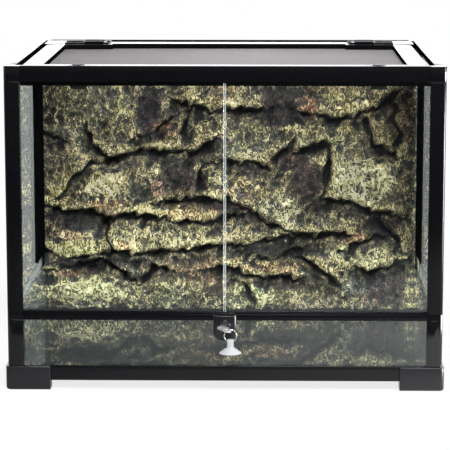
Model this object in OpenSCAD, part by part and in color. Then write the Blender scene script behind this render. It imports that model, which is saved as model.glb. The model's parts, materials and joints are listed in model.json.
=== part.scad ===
// Front-opening glass terrarium: a black moulded frame on four feet, two hinged glass doors above a fixed
// lower glass, a lift-off mesh lid with clips and cable inlets, a keyed lock and a moulded rock background.
// Millimetres. +Z is up, the front faces -Y, and the origin is on the ground at the middle of the whole.

/* [Cabinet] */
// Width over the feet
cabinet_w = 610; // [560:5:680]
// Depth over the feet
cabinet_d = 457; // [420:1:520]
// Height to the top of the frame
cabinet_h = 452; // [420:1:500]
// Height of the lower posts, which is where the doors begin
sill_h = 107.5; // [100:0.5:125]
// Thickness of every glass pane
glass_t = 4; // [3:0.5:4.5]
// Free space on each side of a pane in its groove
glass_gap = 0.25; // [0.15:0.05:0.4]
// Wall between a groove and the outside
wall = 3; // [2.5:0.25:3.25]
// Square size of the corner posts
post_w = 22; // [21:0.5:25]
// Radius of the posts' outer vertical edges
post_r = 6; // [3:0.5:7]

/* [Base] */
// How far the feet stand proud of the frame
foot_proud = 3; // [2:0.5:4]
// Length of a foot along each side
foot_l = 62; // [45:1:90]
// Height of a foot
foot_h = 33.5; // [32:0.5:34]
// Height of the foot's pad, which the base rails lie on
foot_pad_h = 13.5; // [12:0.5:14]
// Radius of the foot's outer vertical edge
foot_r = 7; // [5:0.5:9]
// Radius of the foot's lower outer edge
foot_edge_r = 4; // [2:0.5:5]
// Height of the base rails
base_rail_h = 21; // [20.5:0.5:23]

/* [Top frame] */
// Height of the top frame
frame_h = 21.4; // [20:0.2:24]
// Width of the top rails, seen from above
rail_w = 15; // [14.5:0.25:16]
// Drop of the stop lip behind the doors' upper edges
stop_drop = 6; // [4:0.5:8]
// Width of the side ledges that carry the lid
side_ledge_w = 15; // [13:0.5:18]
// Width of the front ledge
front_ledge_w = 13; // [11:0.5:14]
// Width of the rear ledge
rear_ledge_w = 35; // [32:1:40]

/* [Lid] */
// Height of the lid's frame
lid_t = 8.7; // [8.5:0.1:9.5]
// Gap between the lid and the side rails
lid_side_gap = 10; // [6:0.5:11]
// Gap between the lid and the front rail
lid_front_gap = 2; // [1:0.25:2.5]
// Width of the lid's side borders
lid_side_w = 27; // [22:1:34]
// Width of the lid's front border
lid_front_w = 9.5; // [9:0.5:14]
// Depth of the lid's rear bar
lid_bar_w = 33; // [24:1:38]
// Radius of the lid's rear corners
lid_r = 20; // [8:1:24]
// Skin of the lid's hollow borders
lid_skin = 2.2; // [1.8:0.1:2.4]
// Width of the bars of the lid's net
net_wire = 4; // [3:0.25:5]

/* [Lid clips] */
// Distance from the frame's left side to the left clip
clip_left_inset = 102; // [80:1:140]
// Distance from the frame's right side to the right clip
clip_right_inset = 92; // [70:1:140]
// Width of a clip's plate
clip_w = 22; // [18:1:28]
// Thickness of a clip's plate
clip_t = 2.5; // [2:0.1:2.6]
// How far a clip's tab hangs below the stop lip
clip_tab = 5.1; // [3:0.1:8]
// Width of the tongue that holds the lid down
clip_tongue_w = 9; // [6:0.5:12]
// Length of the oval button
clip_button_l = 17.2; // [14:0.2:22]

/* [Cable inlets] */
// Width of an inlet housing
inlet_w = 99; // [85:1:110]
// Depth of an inlet housing
inlet_d = 66.2; // [60:0.2:72]
// Width of the cable hole
cable_hole_w = 28; // [20:1:30]
// Depth of the cable hole
cable_hole_d = 24; // [16:1:26]
// Width of the shutter's grip
grip_w = 28.5; // [20:0.5:32]
// How far a shutter slides
shutter_travel = 28; // [20:1:30]

/* [Doors] */
// Gap between the two door panes
door_gap = 1.5; // [1:0.1:3]
// How far a pane reaches into its hinge stile
door_grip = 4; // [3:0.5:5]
// Radius of the hinge pins
pin_r = 2.5; // [2:0.1:3]
// Running clearance of the hinge pins
pin_gap = 0.05; // [0.03:0.01:0.08]
// How far a pin reaches into the post, the stile or the corner block
pin_grip = 10; // [7:0.5:12]

/* [Lock] */
// Width of the lock body
lock_w = 32; // [30:0.5:38]
// Height of the lock body
lock_h = 34; // [32:0.5:40]
// Depth of the lock body
lock_d = 11; // [10.5:0.25:13]
// Radius of the barrel
barrel_r = 6; // [5:0.1:6.5]
// Lift of the tongue over a quarter turn of the key
tongue_lift = 7; // [5:0.25:7.5]
// Thickness of the tongue
tongue_t = 2.4; // [2:0.1:2.5]

/* [Key, ring and suction cup] */
// Radius of the key's round bow
bow_r = 10; // [9.5:0.1:11]
// Thickness of the key
key_t = 1.6; // [1.2:0.1:1.7]
// Distance of the bow's centre from the lock body's face
key_neck = 23; // [21:0.5:30]
// Radius of the hole in the bow
bow_hole_r = 3.1; // [2.8:0.1:3.2]
// Radius of the key ring, to the wire's centre
ring_r = 8.6; // [8.4:0.1:9]
// Radius of the ring's wire
ring_wire = 0.65; // [0.5:0.05:0.7]
// Radius of the suction cup's rim
cup_r = 15.3; // [13:0.1:18]
// Height of the suction cup with its neck
cup_h = 19; // [17:0.5:24]
// Radius of the cup's neck
cup_neck_r = 4.6; // [4:0.1:5]

/* [Rock background] */
// Gap between the background and the top frame
rock_top_gap = 6.6; // [3:0.2:40]
// Thickness at the panel's border
rock_edge = 15; // [10:1:20]
// Extra thickness of the blocks
rock_bulge = 24; // [12:1:26]
// Depth of the crevices
crack_depth = 17; // [8:1:18]
// Half width of the crevices
crack_w = 6; // [4:0.5:9]

/* [Hidden] */
$fn = 48;

// Cuts reach this far past a surface
past = 1;
// Free space between a moving piece and what it passes
play = 0.3;

// The lock's stack, forward of the frame's front face
plate_front = 1;
plate_t = 2;
lock_front = plate_front + lock_d;
lock_axis_drop = 13.8;
bow_y = lock_front + key_neck;
key_reach = bow_y + max(cup_r, bow_r);

// The frame's faces: feet stand proud of them, and the key's reach shifts them back
half_w = cabinet_w / 2 - foot_proud;
frame_d = cabinet_d - 2 * foot_proud;
front_y = key_reach / 2 - (frame_d + foot_proud) / 2;
back_y = front_y + frame_d;

// Grooves and panes, as distances inward from the frame's faces
groove_in = wall + glass_t + 2 * glass_gap;
pane_out = wall + glass_gap;
groove_depth = 10;
pane_grip = groove_depth - glass_gap;
// Walls on the inside of the grooves
post_web = 2;
rail_web = 2.5;
// The floor's clearance inside the grooves' inner walls
floor_gap = 0.2;

// Heights
pane_seat_h = 8.5;
floor_seat_h = 12.2;
groove_rise = 7.9;
base_top = foot_pad_h + base_rail_h;
groove_z = foot_pad_h + pane_seat_h;
floor_seat = foot_pad_h + floor_seat_h;
floor_top = floor_seat + glass_t;
frame_z = cabinet_h - frame_h;
groove_top = frame_z + groove_rise;
lid_z = cabinet_h - lid_t;
ledge_t = 3;

// Doors
pivot = post_w / 2;
jamb_v = post_w + 2.6;
jamb_d = 8.4;
jamb_t = 2;
jamb_cover = 2;
stile_z = [sill_h + play, frame_z - play];
door_z = [sill_h + 3, frame_z - 1.8];
door_pane_v = wall;
stop_v = door_pane_v + glass_t + 0.4;
stop_t = 2.2;
stop_lip_h = 5.5;
bore_end = 0.3;

// Mid rail
mid_rail_h = 8.5;
mid_z = sill_h - mid_rail_h;
mid_face = 1;
sill_top = sill_h + 2.5;
mid_groove_h = 5.3;
mid_web = 2.5;
pocket_w = 16.5;
pocket_r = 3;
mid_half = half_w - post_w - play;

// Lid, seen from above
lid_half = half_w - rail_w - lid_side_gap;
lid_front = front_y + rail_w + lid_front_gap;
inlet_side_gap = 4;
inlet_rear_gap = 1;
inlet_out = half_w - rail_w - inlet_side_gap;
inlet_in = inlet_out - inlet_w;
inlet_back = back_y - rail_w - inlet_rear_gap;
inlet_front = inlet_back - inlet_d;
lid_inlet_gap = 4.3;
lid_rear = inlet_front - lid_inlet_gap;
lid_border = 6;
bar_side_gap = 1.5;
bar_half = inlet_in - bar_side_gap;
bar_border = 4.5;
bar_reach = 39.7;
bar_rear = inlet_front + bar_reach;
window_half = lid_half - lid_side_w;
window_front = lid_front + lid_front_w;
window_rear = lid_rear - lid_border;
bar_window_rear = bar_rear - lid_bar_w;
net_t = 0.8;
net_z = lid_z + 0.8;
net_cols = 20;
net_rows = 14;
bar_cols = 14;

// Lid clips
clip_v = stop_v + stop_t + 0.6;
clip_travel = clip_tongue_w + 0.6;
clip_stem_w = 5;
clip_slot_v = [clip_v - play, clip_v + clip_t + play];
rail_bottom_t = 2.9;
rail_top_t = 3;
tongue_z = [lid_z + 2.2, lid_z + 5.1];
tongue_reach = rail_w + lid_front_gap + 4;
button_w = 6;
button_t = 1.2;
mark_w = 5;
mark_t = 1.3;
mark_depth = 0.6;
mark_gap = 4.4;

// Cable inlets
inlet_wall = 2.5;
inlet_top_t = 2.2;
raised_w = 67.4;
raised_h = 2.4;
hole_x = inlet_in + 8;
hole_y = inlet_front + 4.7;
plate_lip = 4;
plate_h = 1.8;
guide_w = 2.2;
skirt_t = 2.7;
skirt_gap = 0.6;
skirt_low = 1.7;
grip_x = hole_x + cable_hole_w / 2 + 1;
grip_top = 4.2;
ridge_h = 1.3;
ridge_w = 12;

// Lock
lock_top = sill_h + 0.3;
lock_bottom = lock_top - lock_h;
lock_z = lock_top - lock_axis_drop;
shield_r = 12.5;
lock_edge_r = 4;
lock_wall = 2.7;
lock_sole = 4;
cavity_half = lock_w / 2 - lock_wall;
cavity_d = 4.2;
tongue_half = cavity_half - play;
tongue_v = plate_front + 0.4;
tongue_top = sill_top + 0.2;
tongue_h = 28;
tongue_r = 8;
cam_r = barrel_r + 1.2;
cam_t = 1;
cam_gap = 0.3;
cam_pin_r = 1.25;
cam_arm = tongue_lift / sqrt(2);
cam_v = plate_front + cavity_d - 0.1;
collar_w = 1.4;
collar_t = 1;
key_tilt = -16;
blade_w = 6.2;
blade_grip = 5;
neck_w = 13;

// Key ring and suction cup: the ring hangs on the bow's rim, the cup on the ring
rim_w = 2.6;
rim_x = bow_r - rim_w / 2;
hole_dx = bow_r - rim_w - bow_hole_r;
hang = ring_r - 2.4;
rim_at = [rim_x * cos(key_tilt), lock_z + rim_x * sin(key_tilt)];
ring_z = rim_at[1] - hang;
wire_z = ring_z - ring_r;
cup_top = wire_z + 3.5;
cup_channel = ring_wire + 0.65;
cup_skin = 1.6;

// Rock background: the panel and the lines of its crevices, on a panel 584 wide and 394 high
rock_gap = 2.3;
rock_back = back_y - groove_in - rock_gap;
rock_half = half_w - groove_in - rock_gap;
rock_z = floor_top + play;
rock_h = frame_z - rock_top_gap - rock_z;
rock_lump = 10;
rock_deepest = rock_edge + rock_bulge + rock_lump;
rock_cols = 72;
rock_rows = 36;
lip_height = 5;
undercut = 6;
pattern_half = 292;
pattern_h = 394;
// Each line runs left to right, [across from the middle, up from the panel's foot]
cracks = [
    [[-215, 275], [-210, 255], [-190, 240], [-130, 248], [-90, 252], [-50, 247], [-30, 265]],
    [[-260, 190], [-240, 210], [-215, 232], [-180, 238]],
    [[-290, 277], [-270, 274]],
    [[-140, 274], [-120, 282], [-90, 302]],
    [[-72, 278], [-62, 312]],
    [[-70, 326], [-35, 315], [30, 315], [50, 318]],
    [[-50, 202], [-45, 230], [-10, 235], [45, 230], [65, 220], [85, 252]],
    [[-100, 174], [-5, 175], [20, 164], [65, 134], [130, 115], [180, 121]],
    [[110, 315], [140, 306], [170, 300], [210, 312], [250, 331], [265, 350]],
    [[210, 300], [225, 260], [265, 242]],
    [[255, 325], [265, 270]],
    [[120, 254], [150, 262], [155, 235], [145, 176], [190, 169], [230, 153], [260, 150]],
    [[-292, 160], [-225, 155], [-185, 142], [-165, 149], [-90, 143], [-35, 138], [10, 151]],
    [[-194, 142], [-186, 88]],
    [[-290, 92], [-255, 77], [-225, 86], [-100, 91], [45, 108], [90, 116]],
    [[-290, 59], [-240, 65], [-205, 77]],
    [[-186, 67], [-140, 40], [-120, 64], [-100, 64]],
    [[50, 82], [80, 84], [105, 95]],
    [[-28, 64], [0, 66], [25, 53], [90, 50]],
    [[25, 36], [40, 8]],
    [[236, 140], [265, 107]],
    [[190, 100], [230, 113]],
    [[120, 79], [145, 62], [175, 31]],
    [[210, 64], [220, 56], [265, 77]]];
// Boulders: [across, up, half width, half height, extra thickness]
boulders = [[205, 215, 60, 48, 9], [-185, 205, 48, 34, 8], [-130, 300, 70, 40, 7], [5, 280, 70, 50, 4],
    [-240, 115, 50, 28, 6], [-90, 120, 80, 22, 8], [-240, 30, 50, 26, 8], [100, 190, 45, 30, 5],
    [210, 80, 50, 26, 5], [40, 345, 60, 26, 5], [190, 350, 60, 30, 6], [-30, 20, 70, 22, 3]];

black = [0.06, 0.06, 0.07];
satin_black = [0.1, 0.1, 0.11];
clear = [0.75, 0.88, 0.86, 0.35];
steel = [0.72, 0.73, 0.75];
dark_steel = [0.16, 0.16, 0.17];

// ---- placing ----

// Puts a piece drawn at a corner, with both distances inward, at one corner of the frame
module at_corner(right, rear) {
    x = right ? half_w : -half_w;
    y = rear ? back_y : front_y;
    translate([x, y, 0])
        flip(right, [1, 0, 0])
            flip(rear, [0, 1, 0])
                children();
}

module flip(wanted, direction) {
    if (wanted) mirror(direction) children();
    else children();
}

// These run a section, drawn as (inward, up), along the front, the rear, or the right side from y0 to y1
module along_front(half) {
    translate([-half, front_y, 0]) rotate([90, 0, 90]) linear_extrude(2 * half) children();
}

module along_rear(half) {
    translate([0, back_y + front_y, 0]) mirror([0, 1, 0]) along_front(half) children();
}

module along_right(y0, y1) {
    translate([half_w, y0, 0]) rotate([90, 0, 180]) linear_extrude(y1 - y0) children();
}

// A box between two corners
module box(low, high) {
    translate(low) cube(high - low);
}

// A square with its corner at the origin rounded
module corner_square(size, r) {
    translate([r, 0]) square([size - r, size]);
    translate([0, r]) square([size, size - r]);
    translate([r, r]) circle(r);
}

// A slot section in a corner piece for the pane that runs along the side
module pane_slot_plan() {
    translate([wall, post_w - groove_depth]) square([groove_in - wall, groove_depth + past]);
}

// ---- base ----

module foot_section() {
    width = post_w + foot_proud;
    translate([foot_edge_r, 0]) square([width - foot_edge_r, foot_pad_h]);
    translate([0, foot_edge_r]) square([foot_edge_r, foot_pad_h - foot_edge_r]);
    translate([foot_edge_r, foot_edge_r]) circle(foot_edge_r);
    translate([0, foot_edge_r]) square([foot_proud, foot_h - foot_edge_r]);
}

module foot_leg() {
    translate([foot_r, 0, 0]) rotate([90, 0, 90]) linear_extrude(foot_l - foot_r) foot_section();
}

module foot() {
    core = post_w + foot_proud;
    pocket_in = 6;
    pocket_h = 3;
    color(black) difference() {
        translate([-foot_proud, -foot_proud, 0]) union() {
            foot_leg();
            mirror([1, -1, 0]) foot_leg();
            translate([foot_r, foot_r, 0]) rotate([0, 0, 180]) rotate_extrude(angle = 90)
                intersection() {
                    translate([foot_r, 0]) mirror([1, 0]) foot_section();
                    square([foot_r, foot_h]);
                }
            translate([0, 0, foot_edge_r])
                linear_extrude(foot_h - foot_edge_r) corner_square(core, foot_r);
        }
        // seats of the side and front panes and of the floor's corner
        translate([0, 0, groove_z]) linear_extrude(foot_h) pane_slot_plan();
        translate([0, 0, groove_z]) linear_extrude(foot_h) mirror([1, -1]) pane_slot_plan();
        box([groove_in, groove_in, floor_seat], [core, core, foot_h + past]);
        // hollows under the two legs
        for (turned = [false, true]) flip(turned, [1, -1, 0])
            box([core, pocket_in - foot_proud, -past],
                [foot_l - foot_proud - pocket_in, post_w - pocket_in, pocket_h]);
    }
}

module base_section() {
    rib = 2.5;
    difference() {
        polygon([[0, foot_pad_h], [post_w, foot_pad_h], [post_w, floor_seat], [groove_in, floor_seat],
            [groove_in, groove_z], [wall, groove_z], [wall, base_top], [0, base_top]]);
        translate([rib, foot_pad_h - past]) square([post_w - 2 * rib, groove_z - foot_pad_h - rib + past]);
    }
}

module base_rail_front() {
    color(black) along_front(half_w - post_w) base_section();
}

module base_rail_rear() {
    color(black) along_rear(half_w - post_w) base_section();
}

module base_rail_right() {
    color(black) along_right(front_y + post_w, back_y - post_w) base_section();
}

// ---- posts ----

// Cut into the front face of a lower post, in line with the mid rail
module post_pocket() {
    cut_h = mid_rail_h + past;
    cut_d = past + mid_face;
    translate([post_w - pocket_w, -past, mid_z]) {
        translate([pocket_r, 0, 0]) cube([pocket_w - pocket_r + past, cut_d, cut_h]);
        translate([0, 0, pocket_r]) cube([pocket_r, cut_d, cut_h - pocket_r]);
        translate([pocket_r, 0, pocket_r]) rotate([-90, 0, 0]) cylinder(h = cut_d, r = pocket_r);
    }
}

module lower_post() {
    color(black) difference() {
        union() {
            translate([0, 0, foot_h]) linear_extrude(sill_h - foot_h) corner_square(post_w, post_r);
            box([0, post_w - past, base_top], [post_w, jamb_v, sill_h]);
        }
        translate([0, 0, foot_h - past]) linear_extrude(sill_h - foot_h + past)
            mirror([1, -1]) pane_slot_plan();
        post_pocket();
        translate([pivot, pivot, sill_h - pin_grip - bore_end])
            cylinder(h = pin_grip + bore_end + past, r = pin_r + pin_gap);
    }
}

module rear_post() {
    leg = groove_in + post_web;
    color(black) translate([0, 0, foot_h]) linear_extrude(frame_z - foot_h) difference() {
        corner_square(post_w, post_r);
        translate([leg, leg]) square(post_w);
        pane_slot_plan();
        mirror([1, -1]) pane_slot_plan();
    }
}

// ---- mid rail ----

module mid_section() {
    inner = groove_in + post_web;
    crown = wall - 0.4;
    crown_z = mid_z + mid_groove_h;
    // front and inner walls of the lower pane's groove, and the crown over it
    translate([mid_face, mid_z]) square([wall - mid_face, mid_rail_h - play]);
    translate([groove_in, mid_z]) square([post_web, mid_rail_h]);
    translate([crown, crown_z]) square([inner - crown, sill_top - crown_z]);
    // ledge, its rear wall, and the lip that the doors stop at
    translate([groove_in, sill_h]) square([post_w - groove_in, sill_top - sill_h]);
    translate([post_w - mid_web, mid_z]) square([mid_web, sill_top - mid_z]);
    translate([stop_v, sill_h]) square([stop_t, stop_lip_h]);
}

module mid_rail() {
    color(black) along_front(mid_half) mid_section();
}

// ---- top frame ----

module top_corner(rear) {
    color(black) difference() {
        translate([0, 0, frame_z]) linear_extrude(frame_h) corner_square(post_w, post_r);
        box([rail_w, rail_w, lid_z], [post_w + past, post_w + past, cabinet_h + past]);
        if (rear) {
            translate([0, 0, frame_z - past]) linear_extrude(groove_top - frame_z + past) pane_slot_plan();
            translate([0, 0, frame_z - past]) linear_extrude(groove_top - frame_z + past)
                mirror([1, -1]) pane_slot_plan();
        } else {
            translate([pivot, pivot, frame_z - past])
                cylinder(h = pin_grip + bore_end + past, r = pin_r + pin_gap);
        }
    }
}

// Section of the side and rear rails: a wall with a groove for the pane
module grooved_rail_section() {
    lip = groove_in + rail_web;
    difference() {
        translate([0, frame_z]) square([rail_w, frame_h]);
        translate([wall, frame_z - past]) square([groove_in - wall, groove_top - frame_z + past]);
        translate([lip, frame_z - past]) square([rail_w - lip + past, lid_z - ledge_t - frame_z + past]);
    }
}

// A ledge on the inside of the side rail, cut round the corner blocks
module side_ledge() {
    translate([0, 0, lid_z - ledge_t]) linear_extrude(ledge_t) difference() {
        translate([half_w - rail_w - side_ledge_w, front_y + rail_w])
            square([side_ledge_w + past, frame_d - 2 * rail_w]);
        translate([half_w - post_w, front_y]) square(post_w);
        translate([half_w - post_w, back_y - post_w]) square(post_w);
    }
}

module top_rail_right() {
    color(black) {
        along_right(front_y + post_w, back_y - post_w) grooved_rail_section();
        side_ledge();
    }
}

module top_rail_rear() {
    color(black) {
        along_rear(half_w - post_w) grooved_rail_section();
        along_rear(half_w - rail_w - side_ledge_w) ledge_section(rear_ledge_w);
    }
}

module ledge_section(width) {
    translate([rail_w - past, lid_z - ledge_t]) square([width + past, ledge_t]);
}

module front_rail_section() {
    difference() {
        translate([0, frame_z]) square([rail_w, frame_h]);
        translate([wall, frame_z + rail_bottom_t])
            square([clip_slot_v[1] - wall, frame_h - rail_bottom_t - rail_top_t]);
    }
}

// The openings that one clip slides in
module clip_slots(x) {
    left = x - clip_travel - play;
    // plate, through the rail's underside
    box([left - clip_w / 2, front_y + clip_slot_v[0], frame_z - past],
        [x + clip_w / 2 + play, front_y + clip_slot_v[1], frame_z + rail_bottom_t + past]);
    // stem, through the rail's top
    box([left - clip_stem_w / 2, front_y + clip_slot_v[0], cabinet_h - rail_top_t - past],
        [x + clip_stem_w / 2 + play, front_y + clip_slot_v[1], cabinet_h + past]);
    // tongue, through the rail's inner wall
    box([left - clip_tongue_w / 2, front_y + clip_slot_v[0], tongue_z[0] - play],
        [x + clip_tongue_w / 2 + play, front_y + rail_w + past, tongue_z[1] + play]);
    // mark beside the button
    mark_x = x - clip_button_l / 2 - mark_gap;
    mark_y = front_y + clip_v + (clip_t - mark_t) / 2;
    box([mark_x - mark_w, mark_y, cabinet_h - mark_depth], [mark_x, mark_y + mark_t, cabinet_h + past]);
}

module top_rail_front() {
    color(black) difference() {
        union() {
            along_front(half_w - post_w) front_rail_section();
            along_front(mid_half) translate([stop_v, frame_z - stop_drop])
                square([stop_t, stop_drop + past]);
            along_front(half_w - rail_w - side_ledge_w) ledge_section(front_ledge_w);
        }
        clip_slots(clip_left_inset - half_w);
        clip_slots(half_w - clip_right_inset);
    }
}

// ---- glass ----

module floor_glass() {
    edge = groove_in + floor_gap;
    color(clear) box([edge - half_w, front_y + edge, floor_seat], [half_w - edge, back_y - edge, floor_top]);
}

module back_glass() {
    side = half_w - post_w + pane_grip;
    color(clear) box([-side, back_y - pane_out - glass_t, groove_z],
        [side, back_y - pane_out, groove_top - play]);
}

module lower_front_glass() {
    side = half_w - post_w + pane_grip;
    color(clear) box([-side, front_y + pane_out, groove_z],
        [side, front_y + pane_out + glass_t, mid_z + mid_groove_h - play]);
}

module side_glass_right() {
    color(clear) box([half_w - pane_out - glass_t, front_y + jamb_v + jamb_t + glass_gap, groove_z],
        [half_w - pane_out, back_y - post_w + pane_grip, groove_top - play]);
}

// The lower glass is a tray: these panes stand on the floor inside the side glasses, up to the sill
module tray_side_right() {
    outer = half_w - groove_in - max(post_web, jamb_cover) - floor_gap;
    color(clear) box([outer - glass_t, front_y + jamb_v, floor_top],
        [outer, rock_back - rock_deepest - play, sill_h]);
}

module door_jamb_right() {
    color(satin_black) difference() {
        box([half_w - groove_in - jamb_cover, front_y + jamb_v, base_top],
            [half_w - wall + jamb_cover, front_y + jamb_v + jamb_d, frame_z]);
        box([half_w - groove_in, front_y + jamb_v + jamb_t, base_top - past],
            [half_w - wall, front_y + jamb_v + jamb_d + past, frame_z + past]);
    }
}

// ---- doors ----

module door_glass_right() {
    color(clear) box([door_gap / 2, front_y + door_pane_v, door_z[0]],
        [half_w - post_w + door_grip, front_y + door_pane_v + glass_t, door_z[1]]);
}

module stile_plan() {
    translate([post_r, 0]) square([post_w - post_r, pivot]);
    translate([0, post_r]) square([post_w, pivot - post_r]);
    translate([post_r, post_r]) circle(post_r);
    translate([pivot, pivot]) circle(pivot);
}

module door_stile() {
    bore = pin_grip + bore_end;
    color(black) difference() {
        translate([0, 0, stile_z[0]]) linear_extrude(stile_z[1] - stile_z[0]) stile_plan();
        box([post_w - door_grip, door_pane_v, door_z[0]], [post_w + past, door_pane_v + glass_t, door_z[1]]);
        translate([pivot, pivot, stile_z[0] - past]) cylinder(h = bore + past, r = pin_r + pin_gap);
        translate([pivot, pivot, stile_z[1] - bore]) cylinder(h = bore + past, r = pin_r + pin_gap);
    }
}

module hinge_pins() {
    color(steel) for (seam = [sill_h, frame_z])
        translate([pivot, pivot, seam - pin_grip]) cylinder(h = 2 * pin_grip, r = pin_r);
}

// ---- lid ----

module lid_plan() {
    depth = lid_rear - lid_front;
    translate([-lid_half, lid_front]) square([2 * lid_half, depth - lid_r]);
    translate([lid_r - lid_half, lid_front]) square([2 * (lid_half - lid_r), depth]);
    for (side = [-1, 1]) translate([side * (lid_half - lid_r), lid_rear - lid_r]) circle(lid_r);
    translate([-bar_half, lid_rear - past]) square([2 * bar_half, bar_rear - lid_rear + past]);
}

module window_plan() {
    polygon(window_points());
}

// The window's outline: wide in front, narrower between the cable inlets
function window_points() = [[-window_half, window_front], [window_half, window_front],
    [window_half, window_rear], [bar_half - bar_border, window_rear],
    [bar_half - bar_border, bar_window_rear], [bar_border - bar_half, bar_window_rear],
    [bar_border - bar_half, window_rear], [-window_half, window_rear]];

// The opening in the lid's front wall for one clip: open below at rest, a hooked slot beside it
module lid_clip_slot(x) {
    top = tongue_z[1] + play;
    half = clip_tongue_w / 2 + play;
    wall_y = [lid_front - past, lid_front + lid_skin + past / 2];
    box([x - half - clip_travel, wall_y[0], tongue_z[0] - play], [x + half, wall_y[1], top]);
    box([x - half, wall_y[0], lid_z - past], [x + half, wall_y[1], top]);
}

module lid_frame() {
    under = lid_z - past;
    skin_z = cabinet_h - 2;
    color(black) difference() {
        translate([0, 0, lid_z]) linear_extrude(lid_t) difference() {
            lid_plan();
            window_plan();
        }
        for (side = [0, 1]) mirror([side, 0, 0])
            box([window_half + lid_skin, lid_front + lid_skin, under],
                [lid_half - lid_skin, lid_rear - lid_r, skin_z]);
        box([-window_half - lid_skin - past, lid_front + lid_skin, under],
            [window_half + lid_skin + past, window_front - lid_skin, skin_z]);
        box([-bar_half + bar_border, bar_window_rear + lid_skin, under],
            [bar_half - bar_border, bar_rear - lid_skin, skin_z]);
        lid_clip_slot(clip_left_inset - half_w);
        lid_clip_slot(half_w - clip_right_inset);
    }
}

// The four corners of one gap in a net of equal gaps between low and high
function net_gap(low, high, cols, rows, col, row) =
    let (pitch = [(high[0] - low[0]) / cols, (high[1] - low[1]) / rows],
        a = [low[0] + pitch[0] * col + net_wire / 2, low[1] + pitch[1] * row + net_wire / 2],
        b = [a[0] + pitch[0] - net_wire, a[1] + pitch[1] - net_wire])
    [a, [b[0], a[1]], b, [a[0], b[1]]];

module lid_mesh() {
    outline = window_points();
    gaps = concat(
        [for (col = [0 : net_cols - 1], row = [0 : net_rows - 1])
            net_gap([-window_half, window_front], [window_half, window_rear], net_cols, net_rows, col, row)],
        [for (col = [0 : bar_cols - 1])
            net_gap([bar_border - bar_half, window_rear], [bar_half - bar_border, bar_window_rear],
                bar_cols, 1, col, 0)]);
    corners = [for (gap = gaps) each gap];
    outer_path = [for (i = [0 : len(outline) - 1]) i];
    gap_paths = [for (i = [0 : len(gaps) - 1]) [for (k = [0 : 3]) len(outline) + 4 * i + k]];
    color(steel) translate([0, 0, net_z]) linear_extrude(net_t)
        polygon(concat(outline, corners), concat([outer_path], gap_paths));
}

module lid_clip(x) {
    plate_y = front_y + clip_v;
    color(satin_black) translate([x, 0, 0]) {
        box([-clip_w / 2, plate_y, frame_z - stop_drop - clip_tab],
            [clip_w / 2, plate_y + clip_t, cabinet_h - rail_top_t - play]);
        box([-clip_tongue_w / 2, plate_y, tongue_z[0]],
            [clip_tongue_w / 2, front_y + tongue_reach, tongue_z[1]]);
        box([-clip_stem_w / 2, plate_y, cabinet_h - rail_top_t - past],
            [clip_stem_w / 2, plate_y + clip_t, cabinet_h + play]);
        translate([0, plate_y + clip_t / 2, cabinet_h + play]) linear_extrude(button_t) {
            square([clip_button_l - button_w, button_w], center = true);
            for (side = [-1, 1]) translate([side * (clip_button_l - button_w) / 2, 0]) circle(button_w / 2);
        }
    }
}

// ---- cable inlets ----

module inlet_housing_right() {
    top = cabinet_h;
    color(black) difference() {
        union() {
            box([inlet_in, inlet_front, lid_z], [inlet_out, inlet_back, top]);
            // raised front wall and the shutter's rear guide
            box([inlet_in, inlet_front, top - past],
                [inlet_in + raised_w, inlet_front + inlet_wall, top + raised_h]);
            translate([inlet_in, hole_y + cable_hole_d + plate_lip / 2 + play, top - past])
                cube([raised_w, guide_w, raised_h + past]);
        }
        box([inlet_in + inlet_wall, inlet_front + inlet_wall, lid_z - past],
            [inlet_out - inlet_wall, inlet_back - inlet_wall, top - inlet_top_t]);
        translate([hole_x, hole_y, lid_z]) cube([cable_hole_w, cable_hole_d, lid_t + past]);
    }
}

module inlet_shutter_right() {
    plate_z = cabinet_h + 0.2;
    plate_y = [inlet_front + inlet_wall + play, hole_y + cable_hole_d + plate_lip / 2];
    skirt_y = inlet_front - skirt_gap - skirt_t;
    grip = [grip_x - grip_w / 2, grip_x + grip_w / 2];
    grip_z = [cabinet_h + raised_h + play, cabinet_h + grip_top];
    color(black) union() {
        box([hole_x - plate_lip, plate_y[0], plate_z],
            [hole_x + cable_hole_w + plate_lip, plate_y[1], plate_z + plate_h]);
        box([grip[0], plate_y[0], plate_z], [grip[1], plate_y[1], grip_z[1]]);
        // bridge over the raised wall, and the skirt in front of it
        box([grip[0], skirt_y, grip_z[0]], [grip[1], plate_y[1], grip_z[1]]);
        box([grip[0], skirt_y, lid_z + skirt_low], [grip[1], skirt_y + skirt_t, grip_z[1]]);
        // thumb ridge
        translate([grip[0], (plate_y[0] + plate_y[1]) / 2, grip_z[1]]) rotate([90, 0, 90])
            linear_extrude(grip_w)
                polygon([[-ridge_w / 2, 0], [ridge_w / 2, 0], [ridge_w / 3, ridge_h], [-ridge_w / 3, ridge_h]]);
    }
}

// ---- lock ----

// Draws an outline seen from the front, and gives it depth behind the plane at -y
module from_front(y, depth) {
    translate([0, y + depth, 0]) rotate([90, 0, 0]) linear_extrude(depth) children();
}

// A plate with round lower corners
module shield(half, low, high, r) {
    translate([-half, low + r]) square([2 * half, high - low - r]);
    translate([r - half, low]) square([2 * (half - r), high - low]);
    for (side = [-1, 1]) translate([side * (half - r), low + r]) circle(r);
}

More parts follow.
